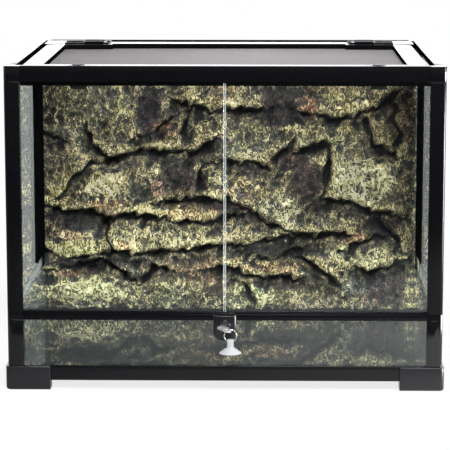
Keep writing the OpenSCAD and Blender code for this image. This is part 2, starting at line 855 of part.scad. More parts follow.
module lock_body() {
    half = lock_w / 2;
    edge_r = lock_edge_r;
    back = front_y - plate_front;
    front = front_y - lock_front;
    color(satin_black) difference() {
        union() {
            intersection() {
                from_front(front, lock_d) shield(half, lock_bottom, lock_top, shield_r);
                translate([0, 0, lock_bottom - past]) linear_extrude(lock_h + 2 * past) union() {
                    translate([-half, front + edge_r]) square([lock_w, lock_d - edge_r]);
                    translate([edge_r - half, front]) square([lock_w - 2 * edge_r, lock_d]);
                    for (side = [-1, 1]) translate([side * (half - edge_r), front + edge_r]) circle(edge_r);
                }
            }
            from_front(front - collar_t, collar_t + past) translate([0, lock_z]) circle(barrel_r + collar_w);
        }
        // cavity for the tongue and the cam, open above and behind
        from_front(back - cavity_d, cavity_d + past)
            shield(cavity_half, lock_bottom + lock_sole, lock_top + past, shield_r - lock_sole);
        from_front(front - collar_t - past, lock_d + past) translate([0, lock_z]) circle(barrel_r + pin_gap);
    }
}

module lock_back_plate() {
    color(satin_black) from_front(front_y - plate_front, plate_t)
        shield(lock_w / 2, lock_bottom, lock_top, shield_r);
}

module lock_tongue() {
    pin_z = lock_z - cam_arm / sqrt(2);
    slot_h = 2 * cam_pin_r + 0.7;
    slot = [-cam_arm - cam_pin_r - 0.4, -cam_arm / sqrt(2) + cam_pin_r + 0.4];
    color(satin_black) from_front(front_y - tongue_v - tongue_t, tongue_t) difference() {
        shield(tongue_half, tongue_top - tongue_h, tongue_top, tongue_r);
        translate([slot[0], pin_z - slot_h / 2]) square([slot[1] - slot[0], slot_h]);
    }
}

module lock_barrel() {
    front = front_y - lock_front - collar_t - 0.4;
    cam_front = front_y - cam_v;
    pin_at = cam_arm / sqrt(2);
    color(dark_steel) difference() {
        union() {
            from_front(front, cam_front - front + 0.1) translate([0, lock_z]) circle(barrel_r);
            from_front(cam_front, cam_t) translate([0, lock_z]) circle(cam_r);
            from_front(cam_front + 0.1, front_y - tongue_v - 0.2 - cam_front)
                translate([-pin_at, lock_z - pin_at]) circle(cam_pin_r);
        }
        translate([0, 0, lock_z]) rotate([0, -key_tilt, 0])
            box([-blade_w / 2 - 0.1, front - past, -key_t / 2 - 0.1],
                [blade_w / 2 + 0.1, front + collar_t + blade_grip + 0.6, key_t / 2 + 0.1]);
    }
}

module key() {
    color(steel) translate([0, 0, lock_z]) rotate([0, -key_tilt, 0])
        translate([0, 0, -key_t / 2]) linear_extrude(key_t) difference() {
            union() {
                translate([0, front_y - bow_y]) circle(bow_r);
                translate([-neck_w / 2, front_y - bow_y]) square([neck_w, key_neck - collar_t - 3]);
                translate([-blade_w / 2, front_y - bow_y]) square([blade_w, key_neck + blade_grip]);
            }
            translate([hole_dx, front_y - bow_y]) circle(bow_hole_r);
        }
}

module ring_shape(wire_r) {
    translate([rim_at[0], front_y - bow_y, ring_z]) rotate([90, 0, 0])
        rotate_extrude() translate([ring_r, 0]) circle(wire_r);
}

module key_ring() {
    color(steel) ring_shape(ring_wire);
}

module cup_profile() {
    bead_h = 2.5;
    bead_r = cup_neck_r + 0.4;
    rim_z = [cup_top - cup_h + 0.7, cup_top - cup_h];
    neck_low = wire_z - 7.3;
    spread = cup_r - cup_neck_r;
    drop = neck_low - rim_z[0];
    polygon([[0, cup_top], [bead_r - 1.2, cup_top], [bead_r, cup_top - 1], [bead_r, cup_top - bead_h],
        [cup_neck_r, cup_top - bead_h - 0.6], [cup_neck_r, neck_low],
        [cup_neck_r + spread * 0.45, neck_low - drop * 0.42],
        [cup_neck_r + spread * 0.8, neck_low - drop * 0.8],
        [cup_r, rim_z[0]], [cup_r, rim_z[1]], [cup_r - cup_skin, rim_z[1]],
        [cup_neck_r + spread * 0.5, neck_low - drop * 0.62 - cup_skin],
        [0, neck_low - cup_skin - 0.6]]);
}

module suction_cup() {
    color([0.8, 0.8, 0.8]) difference() {
        translate([rim_at[0], front_y - bow_y, 0]) rotate_extrude() cup_profile();
        ring_shape(cup_channel);
    }
}

// ---- rock background ----

// Signed distance from a point to one stretch of a crevice: positive above it
function stretch_offset(p, a, b) =
    let (d = b - a, t = max(0, min(1, (p - a) * d / (d * d))), gap = norm(p - a - t * d),
        above = cross(d, p - a) > 0)
    above ? gap : -gap;

// The offset of smallest size in a list
function nearest(offsets) =
    let (sizes = [for (s = offsets) abs(s)], least = min(sizes))
    [for (s = offsets) if (abs(s) == least) s][0];

function crack_offset(p, line) =
    nearest([for (i = [0 : len(line) - 2]) stretch_offset(p, line[i], line[i + 1])]);

function hump(x) = exp(-x * x);

// A crevice with a raised lip above it and a shelf that starts low below it
function crack_shape(s) = lip_height * hump((s - 10) / 8) - crack_depth * hump(s / crack_w)
    - undercut * hump((s + 13) / 10);

function boulder_shape(p, b) = b[4] * hump(norm([(p[0] - b[0]) / b[2], (p[1] - b[1]) / b[3]]));

function ripple(p) = 1.6 * sin(p[0] * 9 + 50 * sin(p[1] * 4)) * cos(p[1] * 11 + 40 * sin(p[0] * 3))
    + 1.0 * sin(p[0] * 21 + p[1] * 7) * sin(p[1] * 25 - p[0] * 5);

function sum(list) = list * [for (i = list) 1];

// Thickness of the panel at a place on the pattern
function rock_thickness(p) =
    let (side = min(1, (pattern_half - abs(p[0])) / 45), end = min(1, min(p[1], pattern_h - p[1]) / 30),
        bulge = rock_bulge * (0.55 + 0.45 * side) * (0.6 + 0.4 * end),
        lumps = sum([for (b = boulders) boulder_shape(p, b)]),
        carving = sum([for (line = cracks) crack_shape(crack_offset(p, line))]))
    max(rock_edge * 0.5, min(rock_deepest, rock_edge + bulge + lumps + carving + ripple(p)));

module rock_background() {
    across = [for (i = [0 : rock_cols]) i / rock_cols];
    up = [for (j = [0 : rock_rows]) j / rock_rows];
    front = [for (v = up, u = across)
        let (p = [(2 * u - 1) * pattern_half, v * pattern_h])
        [(2 * u - 1) * rock_half, rock_back - rock_thickness(p), rock_z + v * rock_h]];
    stride = rock_cols + 1;
    count = len(front);
    // the back's corners: lower left, lower right, upper right, upper left
    back = [for (c = [[-1, 0], [1, 0], [1, 1], [-1, 1]]) [c[0] * rock_half, rock_back, rock_z + c[1] * rock_h]];
    cells = [for (j = [0 : rock_rows - 1], i = [0 : rock_cols - 1]) let (k = j * stride + i)
        each [[k, k + stride, k + 1], [k + 1, k + stride, k + stride + 1]]];
    lower = concat([for (i = [0 : rock_cols]) i], [count + 1, count]);
    upper = concat([for (i = [rock_cols : -1 : 0]) rock_rows * stride + i], [count + 3, count + 2]);
    left = concat([for (j = [rock_rows : -1 : 0]) j * stride], [count, count + 3]);
    right = concat([for (j = [0 : rock_rows]) j * stride + rock_cols], [count + 2, count + 1]);
    color([0.42, 0.4, 0.24])
        polyhedron(concat(front, back), concat(cells, [lower, upper, left, right,
            [count, count + 1, count + 2, count + 3]]), convexity = 8);
}

// ---- pieces ----

at_corner(false, false) foot();  // foot_front_left
at_corner(true, false) foot();  // foot_front_right
at_corner(false, true) foot();  // foot_rear_left
at_corner(true, true) foot();  // foot_rear_right
base_rail_front();
base_rail_rear();
mirror([1, 0, 0]) base_rail_right();  // base_rail_left
base_rail_right();
at_corner(false, false) lower_post();  // lower_post_left
at_corner(true, false) lower_post();  // lower_post_right
at_corner(false, true) rear_post();  // rear_post_left
at_corner(true, true) rear_post();  // rear_post_right
mid_rail();
at_corner(false, false) top_corner(false);  // top_corner_front_left
at_corner(true, false) top_corner(false);  // top_corner_front_right
at_corner(false, true) top_corner(true);  // top_corner_rear_left
at_corner(true, true) top_corner(true);  // top_corner_rear_right
top_rail_front();
top_rail_rear();
mirror([1, 0, 0]) top_rail_right();  // top_rail_left
top_rail_right();
floor_glass();
back_glass();
mirror([1, 0, 0]) side_glass_right();  // side_glass_left
side_glass_right();
mirror([1, 0, 0]) tray_side_right();  // tray_side_left
tray_side_right();
lower_front_glass();
mirror([1, 0, 0]) door_jamb_right();  // door_jamb_left
door_jamb_right();
mirror([1, 0, 0]) door_glass_right();  // door_glass_left
door_glass_right();
at_corner(false, false) door_stile();  // door_stile_left
at_corner(true, false) door_stile();  // door_stile_right
at_corner(false, false) hinge_pins();  // hinge_pins_left
at_corner(true, false) hinge_pins();  // hinge_pins_right
rock_background();
lid_frame();
lid_mesh();
lid_clip(clip_left_inset - half_w);  // lid_clip_left
lid_clip(half_w - clip_right_inset);  // lid_clip_right
mirror([1, 0, 0]) inlet_housing_right();  // inlet_housing_left
inlet_housing_right();
mirror([1, 0, 0]) inlet_shutter_right();  // inlet_shutter_left
inlet_shutter_right();
lock_body();
lock_back_plate();
lock_tongue();
lock_barrel();
key();
key_ring();
suction_cup();
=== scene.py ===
import json
import math

import bpy
import numpy as np
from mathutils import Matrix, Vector

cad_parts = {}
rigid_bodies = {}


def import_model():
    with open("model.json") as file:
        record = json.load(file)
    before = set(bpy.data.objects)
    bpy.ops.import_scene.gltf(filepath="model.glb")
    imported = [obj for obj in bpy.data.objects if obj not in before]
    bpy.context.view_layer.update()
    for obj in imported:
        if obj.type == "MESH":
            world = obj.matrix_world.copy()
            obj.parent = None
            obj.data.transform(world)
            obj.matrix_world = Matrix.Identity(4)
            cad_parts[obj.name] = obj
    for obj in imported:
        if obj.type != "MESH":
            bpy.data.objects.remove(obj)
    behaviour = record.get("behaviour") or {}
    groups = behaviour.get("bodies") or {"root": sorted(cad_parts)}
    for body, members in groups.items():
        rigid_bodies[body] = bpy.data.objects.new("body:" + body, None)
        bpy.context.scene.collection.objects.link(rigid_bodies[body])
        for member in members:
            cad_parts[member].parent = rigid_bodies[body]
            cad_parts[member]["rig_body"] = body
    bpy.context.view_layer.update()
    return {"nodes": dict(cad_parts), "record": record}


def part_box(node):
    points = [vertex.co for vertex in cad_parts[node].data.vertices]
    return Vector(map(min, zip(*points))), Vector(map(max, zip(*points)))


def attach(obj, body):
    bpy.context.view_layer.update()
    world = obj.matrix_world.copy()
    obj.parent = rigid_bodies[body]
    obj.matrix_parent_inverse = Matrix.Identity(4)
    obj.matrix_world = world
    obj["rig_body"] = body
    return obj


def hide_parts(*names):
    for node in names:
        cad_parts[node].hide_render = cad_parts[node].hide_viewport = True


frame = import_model()
nodes = frame["nodes"]
bodyOf = {name: piece["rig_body"] for name, piece in nodes.items()}
print("frame loaded:", len(nodes), "solids")


view = {
    "place": (0.0497, -3.05545, 0.7157), "tiltDeg": 80.41, "turnDeg": 0.99,
    "lens": 168.4, "sensor": 36, "clip": (0.05, 40),
}

stage = {
    "floorSize": 9.0, "floorDrop": 0.0002,
    "floorColour": (0.86, 0.86, 0.86, 1), "skyColour": (0.8, 0.8, 0.8, 1),
    # from where to where, then the strengths there
    "ownLight": (0.42, 0.9, 0.8, 1.0),         # outwards: close by, the floor takes the object's shadow
    "glowForward": (-1.0, -0.62, 0.03, 1.15),  # along Y: gloss sees a dark floor far out in front
    "glowAcross": (-0.3, 0.35, 0.3, 1.0),      # along X: and a brighter one on the right
    "skyForward": (-0.45, 0.35, 0.12, 1.0),    # along Y: gloss sees a dark room in front
    "thrownFront": -0.25,                      # the panes throw back the floor in front of this
    "softSky": 0.55,
}

lamps = {
    # place, aim, size, power, spread in degrees
    "frontSoftbox": ((0.5, -2.6, 2.6), (0, 0.1, 0.2), (1.8, 1.2), 150, 180),
    "sideSoftbox": ((2.6, -0.9, 0.35), (0.3, -0.1, 0.25), (0.8, 1.5), 30, 180),
    "edgeStrip": ((0.92, -0.28, 0.21), (0.302, -0.32, 0.21), (0.4, 0.42), 2.5, 40),
    "backSoftbox": ((0, 3.4, 1.1), (0, 0, 0.45), (5.0, 1.2), 40, 180),
}


def addCamera():
    data = bpy.data.cameras.new("camera")
    data.lens = view["lens"]
    data.sensor_width = view["sensor"]
    data.clip_start, data.clip_end = view["clip"]
    camera = bpy.data.objects.new("camera", data)
    camera.location = view["place"]
    camera.rotation_euler = (math.radians(view["tiltDeg"]), 0, math.radians(view["turnDeg"]))
    bpy.context.scene.collection.objects.link(camera)
    bpy.context.scene.camera = camera
    bpy.context.scene.view_settings.view_transform = "Standard"


def addLamp(name, place, aim, size, power, spreadDeg):
    data = bpy.data.lights.new(name, "AREA")
    data.shape = "RECTANGLE"
    data.size, data.size_y = size
    data.energy = power
    data.spread = math.radians(spreadDeg)
    lamp = bpy.data.objects.new(name, data)
    lamp.location = place
    lamp.rotation_euler = (Vector(aim) - Vector(place)).to_track_quat("-Z", "Y").to_euler()
    bpy.context.scene.collection.objects.link(lamp)
    lamp.visible_camera = False
    return lamp


def wire(tree, start, end):
    tree.links.new(start, end)


def addNode(tree, kind, place=(0, 0), **values):
    node = tree.nodes.new(kind)
    node.location = place
    for key, value in values.items():
        if hasattr(node, key):
            setattr(node, key, value)
        else:
            node.inputs[key.replace("_", " ")].default_value = value
    return node


def addRange(tree, place, limits, curve="LINEAR"):
    # limits are from low, from high, to low and to high, and what is left out stays 0 or 1
    node = addNode(tree, "ShaderNodeMapRange", place, interpolation_type=curve)
    for socket, value in zip(("From Min", "From Max", "To Min", "To Max"), limits):
        node.inputs[socket].default_value = value
    return node


def emptyMaterial(name):
    material = bpy.data.materials.new(name)
    material.use_nodes = True
    material.node_tree.nodes.clear()
    return material, material.node_tree


def addFloor():
    bpy.ops.object.select_all(action="DESELECT")
    bpy.ops.mesh.primitive_plane_add(size=stage["floorSize"], location=(0, 0, -stage["floorDrop"]))
    floor = bpy.context.object
    floor.name = "studioFloor"
    material, tree = emptyMaterial("studioFloor")
    # gloss sees a floor that is bright close to the front and dark further out
    coord = addNode(tree, "ShaderNodeTexCoord", (-1100, 0))
    split = addNode(tree, "ShaderNodeSeparateXYZ", (-900, 0))
    wire(tree, coord.outputs["Object"], split.inputs[0])
    near = addRange(tree, (-700, 100), stage["glowForward"], "SMOOTHSTEP")
    wire(tree, split.outputs["Y"], near.inputs["Value"])
    across = addRange(tree, (-700, -200), stage["glowAcross"])
    wire(tree, split.outputs["X"], across.inputs["Value"])
    both = addNode(tree, "ShaderNodeMath", (-500, 0), operation="MULTIPLY")
    wire(tree, near.outputs[0], both.inputs[0])
    wire(tree, across.outputs[0], both.inputs[1])
    path = addNode(tree, "ShaderNodeLightPath", (-700, 500))
    matte = addNode(tree, "ShaderNodeBsdfDiffuse", (-300, 300), Color=stage["floorColour"])
    white = addNode(tree, "ShaderNodeEmission", (-300, 150), Strength=1.0)
    glow = addNode(tree, "ShaderNodeEmission", (-300, 0))
    wire(tree, both.outputs[0], glow.inputs["Strength"])
    away = addNode(tree, "ShaderNodeVectorMath", (-900, 700), operation="LENGTH")
    wire(tree, coord.outputs["Object"], away.inputs[0])
    ownLight = addRange(tree, (-700, 700), stage["ownLight"], "SMOOTHSTEP")
    wire(tree, away.outputs["Value"], ownLight.inputs["Value"])
    share = addNode(tree, "ShaderNodeMath", (-300, 500), operation="MULTIPLY")
    wire(tree, ownLight.outputs[0], share.inputs[1])
    seen = addNode(tree, "ShaderNodeMath", (-500, 500), operation="MAXIMUM")
    wire(tree, path.outputs["Is Camera Ray"], seen.inputs[0])
    wire(tree, path.outputs["Is Transmission Ray"], seen.inputs[1])
    wire(tree, seen.outputs[0], share.inputs[0])
    base = addNode(tree, "ShaderNodeMixShader", (-50, 300))
    wire(tree, share.outputs[0], base.inputs[0])
    wire(tree, matte.outputs[0], base.inputs[1])
    wire(tree, white.outputs[0], base.inputs[2])
    final = addNode(tree, "ShaderNodeMixShader", (150, 200))
    mirrored = addNode(tree, "ShaderNodeMath", (-50, 500), operation="SUBTRACT", use_clamp=True)
    wire(tree, path.outputs["Is Glossy Ray"], mirrored.inputs[0])
    wire(tree, path.outputs["Is Transmission Ray"], mirrored.inputs[1])
    # what a pane throws back after the light has entered it counts as a mirror image too
    ahead = addNode(tree, "ShaderNodeMath", (-300, 650), operation="LESS_THAN")
    ahead.inputs[1].default_value = stage["thrownFront"]
    wire(tree, split.outputs["Y"], ahead.inputs[0])
    thrown = addNode(tree, "ShaderNodeMath", (-50, 650), operation="MULTIPLY")
    wire(tree, path.outputs["Is Transmission Ray"], thrown.inputs[0])
    wire(tree, ahead.outputs[0], thrown.inputs[1])
    eitherWay = addNode(tree, "ShaderNodeMath", (100, 500), operation="MAXIMUM")
    wire(tree, mirrored.outputs[0], eitherWay.inputs[0])
    wire(tree, thrown.outputs[0], eitherWay.inputs[1])
    wire(tree, eitherWay.outputs[0], final.inputs[0])
    wire(tree, base.outputs[0], final.inputs[1])
    wire(tree, glow.outputs[0], final.inputs[2])
    out = addNode(tree, "ShaderNodeOutputMaterial", (350, 200))
    wire(tree, final.outputs[0], out.inputs[0])
    floor.data.materials.append(material)


def addWorld():
    world = bpy.data.worlds.new("studio")
    bpy.context.scene.world = world
    world.use_nodes = True
    tree = world.node_tree
    tree.nodes.clear()
    coord = addNode(tree, "ShaderNodeTexCoord", (-900, 0))
    split = addNode(tree, "ShaderNodeSeparateXYZ", (-700, 0))
    wire(tree, coord.outputs["Generated"], split.inputs[0])
    # dark in front of the object, bright behind it
    depth = addRange(tree, (-500, 0), stage["skyForward"], "SMOOTHSTEP")
    wire(tree, split.outputs["Y"], depth.inputs["Value"])
    path = addNode(tree, "ShaderNodeLightPath", (-500, 400))
    gloss = addNode(tree, "ShaderNodeBackground", (-200, -100), Color=stage["skyColour"])
    wire(tree, depth.outputs[0], gloss.inputs["Strength"])
    soft = addNode(tree, "ShaderNodeBackground", (-200, 50), Color=stage["skyColour"],
                   Strength=stage["softSky"])
    white = addNode(tree, "ShaderNodeBackground", (-200, 200), Color=(1, 1, 1, 1), Strength=1.0)
    mirrored = addNode(tree, "ShaderNodeMath", (-200, 250), operation="MAXIMUM")
    wire(tree, path.outputs["Is Glossy Ray"], mirrored.inputs[0])
    wire(tree, path.outputs["Is Transmission Ray"], mirrored.inputs[1])
    first = addNode(tree, "ShaderNodeMixShader", (50, 0))
    wire(tree, mirrored.outputs[0], first.inputs[0])
    wire(tree, soft.outputs[0], first.inputs[1])
    wire(tree, gloss.outputs[0], first.inputs[2])
    behind = addNode(tree, "ShaderNodeMath", (-500, 600), operation="GREATER_THAN")
    behind.inputs[1].default_value = 0.0
    wire(tree, split.outputs["Y"], behind.inputs[0])
    through = addNode(tree, "ShaderNodeMath", (-350, 500), operation="MULTIPLY")
    wire(tree, path.outputs["Is Transmission Ray"], through.inputs[0])
    wire(tree, behind.outputs[0], through.inputs[1])
    seen = addNode(tree, "ShaderNodeMath", (-200, 400), operation="MAXIMUM")
    wire(tree, path.outputs["Is Camera Ray"], seen.inputs[0])
    wire(tree, through.outputs[0], seen.inputs[1])
    final = addNode(tree, "ShaderNodeMixShader", (250, 100))
    wire(tree, seen.outputs[0], final.inputs[0])
    wire(tree, first.outputs[0], final.inputs[1])
    wire(tree, white.outputs[0], final.inputs[2])
    out = addNode(tree, "ShaderNodeOutputWorld", (450, 100))
    wire(tree, final.outputs[0], out.inputs[0])


addCamera()
addFloor()
addWorld()
for name, values in lamps.items():
    lamp = addLamp(name, *values)
    if name == "edgeStrip":
        # it only draws the bright line down the rounded right edge
        lamp.visible_diffuse = False
        lamp.visible_transmission = False
print("view, floor and lamps ready")


surface = {
    "flowScale": 14.0, "flowLimits": (0.3, 0.7),             # slow changes of gloss over a moulding
    "speckScale": 420.0, "speckLimits": (0.62, 0.8), "speckColour": (0.22, 0.22, 0.23, 1), "dust": 0.012,
    "plasticBump": (0.25, 0.0004), "metalBump": (0.12, 0.0001), "coatRoughness": 0.04,
    "brushStretch": (1, 1, 12), "brushTone": (0.25, 0.75, 0.82, 1.05),
    "smearScale": 9.0, "smearLimits": (0.45, 0.8), "glassIor": 1.5,
}
surfaceOutputs = [("Colour", "NodeSocketColor"), ("Roughness", "NodeSocketFloat"),
                  ("Height", "NodeSocketFloat")]


def newGroup(name, inputs, outputs):
    group = bpy.data.node_groups.new(name, "ShaderNodeTree")
    for label, kind, value in inputs:
        socket = group.interface.new_socket(name=label, in_out="INPUT", socket_type=kind)
        socket.default_value = value
    for label, kind in outputs:
        group.interface.new_socket(name=label, in_out="OUTPUT", socket_type=kind)
    start = group.nodes.new("NodeGroupInput")
    start.location = (-900, 0)
    end = group.nodes.new("NodeGroupOutput")
    end.location = (600, 0)
    return group, start, end


def mouldedGroup():
    group, start, end = newGroup(
        "mouldedSurface",
        [("Colour", "NodeSocketColor", (0.02, 0.02, 0.02, 1)),
         ("Grain Scale", "NodeSocketFloat", 900.0), ("Grain Depth", "NodeSocketFloat", 0.3),
         ("Gloss Low", "NodeSocketFloat", 0.18), ("Gloss High", "NodeSocketFloat", 0.3),
         ("Dust", "NodeSocketFloat", 0.15)],
        surfaceOutputs)
    coord = addNode(group, "ShaderNodeTexCoord", (-900, -300))
    grain = addNode(group, "ShaderNodeTexNoise", (-650, -300), Detail=2.0)
    wire(group, coord.outputs["Object"], grain.inputs["Vector"])
    wire(group, start.outputs["Grain Scale"], grain.inputs["Scale"])
    flow = addNode(group, "ShaderNodeTexNoise", (-650, -550), Scale=surface["flowScale"], Detail=4.0)
    wire(group, coord.outputs["Object"], flow.inputs["Vector"])
    rough = addRange(group, (-350, -200), surface["flowLimits"])
    wire(group, flow.outputs["Fac"], rough.inputs["Value"])
    wire(group, start.outputs["Gloss Low"], rough.inputs["To Min"])
    wire(group, start.outputs["Gloss High"], rough.inputs["To Max"])
    wire(group, rough.outputs[0], end.inputs["Roughness"])
    height = addNode(group, "ShaderNodeMath", (-350, -450), operation="MULTIPLY")
    wire(group, grain.outputs["Fac"], height.inputs[0])
    wire(group, start.outputs["Grain Depth"], height.inputs[1])
    wire(group, height.outputs[0], end.inputs["Height"])
    speck = addNode(group, "ShaderNodeTexNoise", (-650, 100), Scale=surface["speckScale"], Detail=1.0)
    wire(group, coord.outputs["Object"], speck.inputs["Vector"])
    lift = addRange(group, (-350, 100), surface["speckLimits"])
    wire(group, speck.outputs["Fac"], lift.inputs["Value"])
    amount = addNode(group, "ShaderNodeMath", (-150, 100), operation="MULTIPLY")
    wire(group, lift.outputs[0], amount.inputs[0])
    wire(group, start.outputs["Dust"], amount.inputs[1])
    mix = addNode(group, "ShaderNodeMix", (50, 100), data_type="RGBA")
    wire(group, amount.outputs[0], mix.inputs["Factor"])
    wire(group, start.outputs["Colour"], mix.inputs[6])
    mix.inputs[7].default_value = surface["speckColour"]
    wire(group, mix.outputs[2], end.inputs["Colour"])
    return group


def brushedGroup():
    group, start, end = newGroup(
        "brushedMetal",
        [("Colour", "NodeSocketColor", (0.6, 0.6, 0.6, 1)),
         ("Line Scale", "NodeSocketFloat", 600.0),
         ("Gloss Low", "NodeSocketFloat", 0.15), ("Gloss High", "NodeSocketFloat", 0.35)],
        surfaceOutputs)
    coord = addNode(group, "ShaderNodeTexCoord", (-900, -300))
    stretch = addNode(group, "ShaderNodeMapping", (-700, -300))
    stretch.inputs["Scale"].default_value = surface["brushStretch"]
    wire(group, coord.outputs["Object"], stretch.inputs["Vector"])
    lines = addNode(group, "ShaderNodeTexNoise", (-500, -300), Detail=3.0)
    wire(group, stretch.outputs[0], lines.inputs["Vector"])
    wire(group, start.outputs["Line Scale"], lines.inputs["Scale"])
    rough = addNode(group, "ShaderNodeMapRange", (-250, -200))
    wire(group, lines.outputs["Fac"], rough.inputs["Value"])
    wire(group, start.outputs["Gloss Low"], rough.inputs["To Min"])
    wire(group, start.outputs["Gloss High"], rough.inputs["To Max"])
    wire(group, rough.outputs[0], end.inputs["Roughness"])
    wire(group, lines.outputs["Fac"], end.inputs["Height"])
    tone = addRange(group, (-250, 50), surface["brushTone"])
    wire(group, lines.outputs["Fac"], tone.inputs["Value"])
    shade = addNode(group, "ShaderNodeVectorMath", (0, 50), operation="MULTIPLY")
    wire(group, start.outputs["Colour"], shade.inputs[0])
    wire(group, tone.outputs[0], shade.inputs[1])
    wire(group, shade.outputs[0], end.inputs["Colour"])
    return group


moulded = mouldedGroup()
brushed = brushedGroup()


def finishMaterial(tree, group, values, bumpDepth, coat=0.0, metallic=0.0, specular=0.5):
    pattern = addNode(tree, "ShaderNodeGroup", (-500, 0))
    pattern.node_tree = group
    for key, value in values.items():
        pattern.inputs[key].default_value = value
    shader = addNode(tree, "ShaderNodeBsdfPrincipled", (0, 0))
    shader.inputs["Metallic"].default_value = metallic
    shader.inputs["Specular IOR Level"].default_value = specular
    shader.inputs["Coat Weight"].default_value = coat
    shader.inputs["Coat Roughness"].default_value = surface["coatRoughness"]
    bump = addNode(tree, "ShaderNodeBump", (-250, -250))
    bump.inputs["Strength"].default_value, bump.inputs["Distance"].default_value = bumpDepth
    wire(tree, pattern.outputs["Colour"], shader.inputs["Base Color"])
    wire(tree, pattern.outputs["Roughness"], shader.inputs["Roughness"])
    wire(tree, pattern.outputs["Height"], bump.inputs["Height"])
    wire(tree, bump.outputs[0], shader.inputs["Normal"])
    out = addNode(tree, "ShaderNodeOutputMaterial", (300, 0))
    wire(tree, shader.outputs[0], out.inputs[0])


def plasticMaterial(name, colour, glossLow, glossHigh, grainScale, grainDepth, coat, specular):
    material, tree = emptyMaterial(name)
    finishMaterial(tree, moulded,
                   {"Colour": (*colour, 1), "Gloss Low": glossLow, "Gloss High": glossHigh,
                    "Grain Scale": grainScale, "Grain Depth": grainDepth, "Dust": surface["dust"]},
                   surface["plasticBump"], coat=coat, specular=specular)
    return material


def metalMaterial(name, colour, glossLow, glossHigh, lineScale):
    material, tree = emptyMaterial(name)
    finishMaterial(tree, brushed,
                   {"Colour": (*colour, 1), "Gloss Low": glossLow, "Gloss High": glossHigh,
                    "Line Scale": lineScale},
                   surface["metalBump"], metallic=1.0)
    return material


def glassMaterial(name, colour, smear, clearness):
    material, tree = emptyMaterial(name)
    coord = addNode(tree, "ShaderNodeTexCoord", (-900, 0))
    noise = addNode(tree, "ShaderNodeTexNoise", (-700, 0), Scale=surface["smearScale"], Detail=5.0)
    wire(tree, coord.outputs["Object"], noise.inputs["Vector"])
    rough = addRange(tree, (-450, 0), (*surface["smearLimits"], 0.0, smear))
    wire(tree, noise.outputs["Fac"], rough.inputs["Value"])
    shader = addNode(tree, "ShaderNodeBsdfPrincipled", (-100, 0))
    shader.inputs["Base Color"].default_value = (*colour, 1)
    shader.inputs["Transmission Weight"].default_value = clearness
    shader.inputs["IOR"].default_value = surface["glassIor"]
    wire(tree, rough.outputs[0], shader.inputs["Roughness"])
    # lamps shine through the panes
    passed = (*(clearness * part for part in colour), 1)
    clear = addNode(tree, "ShaderNodeBsdfTransparent", (-100, 200), Color=passed)
    path = addNode(tree, "ShaderNodeLightPath", (-100, 500))
    mix = addNode(tree, "ShaderNodeMixShader", (200, 100))
    wire(tree, path.outputs["Is Shadow Ray"], mix.inputs[0])
    wire(tree, shader.outputs[0], mix.inputs[1])
    wire(tree, clear.outputs[0], mix.inputs[2])
    out = addNode(tree, "ShaderNodeOutputMaterial", (400, 100))
    wire(tree, mix.outputs[0], out.inputs[0])
    return material


plastics = {
    # material, colour, gloss low and high, grain scale and depth, coat, specular
    "frame_plastic": ("frameBlack", (0.003, 0.003, 0.004), 0.08, 0.16, 1500, 0.12, 0.2, 0.5),
    "foot_plastic": ("footBlack", (0.011, 0.011, 0.013), 0.26, 0.36, 1300, 0.3, 0.0, 0.5),
    "rail_plastic": ("railBlack", (0.004, 0.004, 0.005), 0.14, 0.22, 1500, 0.15, 0.0, 0.32),
    "sill_plastic": ("sillBlack", (0.003, 0.003, 0.004), 0.14, 0.22, 1500, 0.15, 0.0, 0.15),
    "dull_plastic": ("dullBlack", (0.004, 0.004, 0.005), 0.5, 0.65, 1500, 0.3, 0.0, 0.0),
    "lid_plastic": ("lidBlack", (0.006, 0.006, 0.007), 0.14, 0.24, 1200, 0.25, 0.3, 0.5),
    "satin_plastic": ("satinBlack", (0.007, 0.007, 0.0085), 0.28, 0.42, 1100, 0.4, 0.0, 0.5),
    "lock_plastic": ("lockBlack", (0.006, 0.006, 0.008), 0.2, 0.32, 1300, 0.3, 0.1, 0.5),
    "bare_foam": ("bareFoam", (0.035, 0.036, 0.034), 0.6, 0.8, 500, 0.6, 0.0, 0.1),
    "mesh_wire": ("meshWire", (0.3, 0.285, 0.288), 0.5, 0.65, 900, 0.3, 0.0, 0.2),
}
metals = {
    # material, colour, gloss low and high, line scale
    "pin_steel": ("pinSteel", (0.55, 0.55, 0.56), 0.2, 0.35, 500),
    "dark_metal": ("blackNickel", (0.05, 0.05, 0.055), 0.16, 0.3, 700),
    "key_metal": ("keyNickel", (0.86, 0.86, 0.85), 0.28, 0.44, 900),
    "ring_wire": ("ringNickel", (0.86, 0.86, 0.86), 0.2, 0.32, 900),
}
glasses = {
    # material, colour, smear, clearness
    "clear_glass": ("floatGlass", (0.93, 0.97, 0.955), 0.03, 1.0),
    "dark_glass": ("floorGlass", (0.016, 0.02, 0.021), 0.03, 0.0),
    "ground_edge": ("groundEdge", (0.74, 0.8, 0.78), 0.9, 0.35),
    "clear_rubber": ("clearVinyl", (0.66, 0.68, 0.7), 0.25, 0.45),
}
finishes = {slot: plasticMaterial(*values) for slot, values in plastics.items()}
finishes.update((slot, metalMaterial(*values)) for slot, values in metals.items())
finishes.update((slot, glassMaterial(*values)) for slot, values in glasses.items())
slotOf = {part["node"]: part["material_slot"] for part in frame["record"]["subparts"]}
for name, piece in nodes.items():
    if slotOf[name] in finishes:
        piece.data.materials.clear()
        piece.data.materials.append(finishes[slotOf[name]])
print("finishes ready:", len(finishes))


edges = {
    "frame": 0.00055, "feet": 0.0009, "lid": 0.0006, "lock": 0.0007, "clips": 0.0005,
    "inlets": 0.0006, "segments": 3, "sharpDeg": 38, "weld": 0.000002, "flatDeg": 0.6,
    "upright": 0.5,                       # a wall's normal rises less than this
    "insideX": 0.297, "insideY": -0.196,  # walls further out keep their shine
}


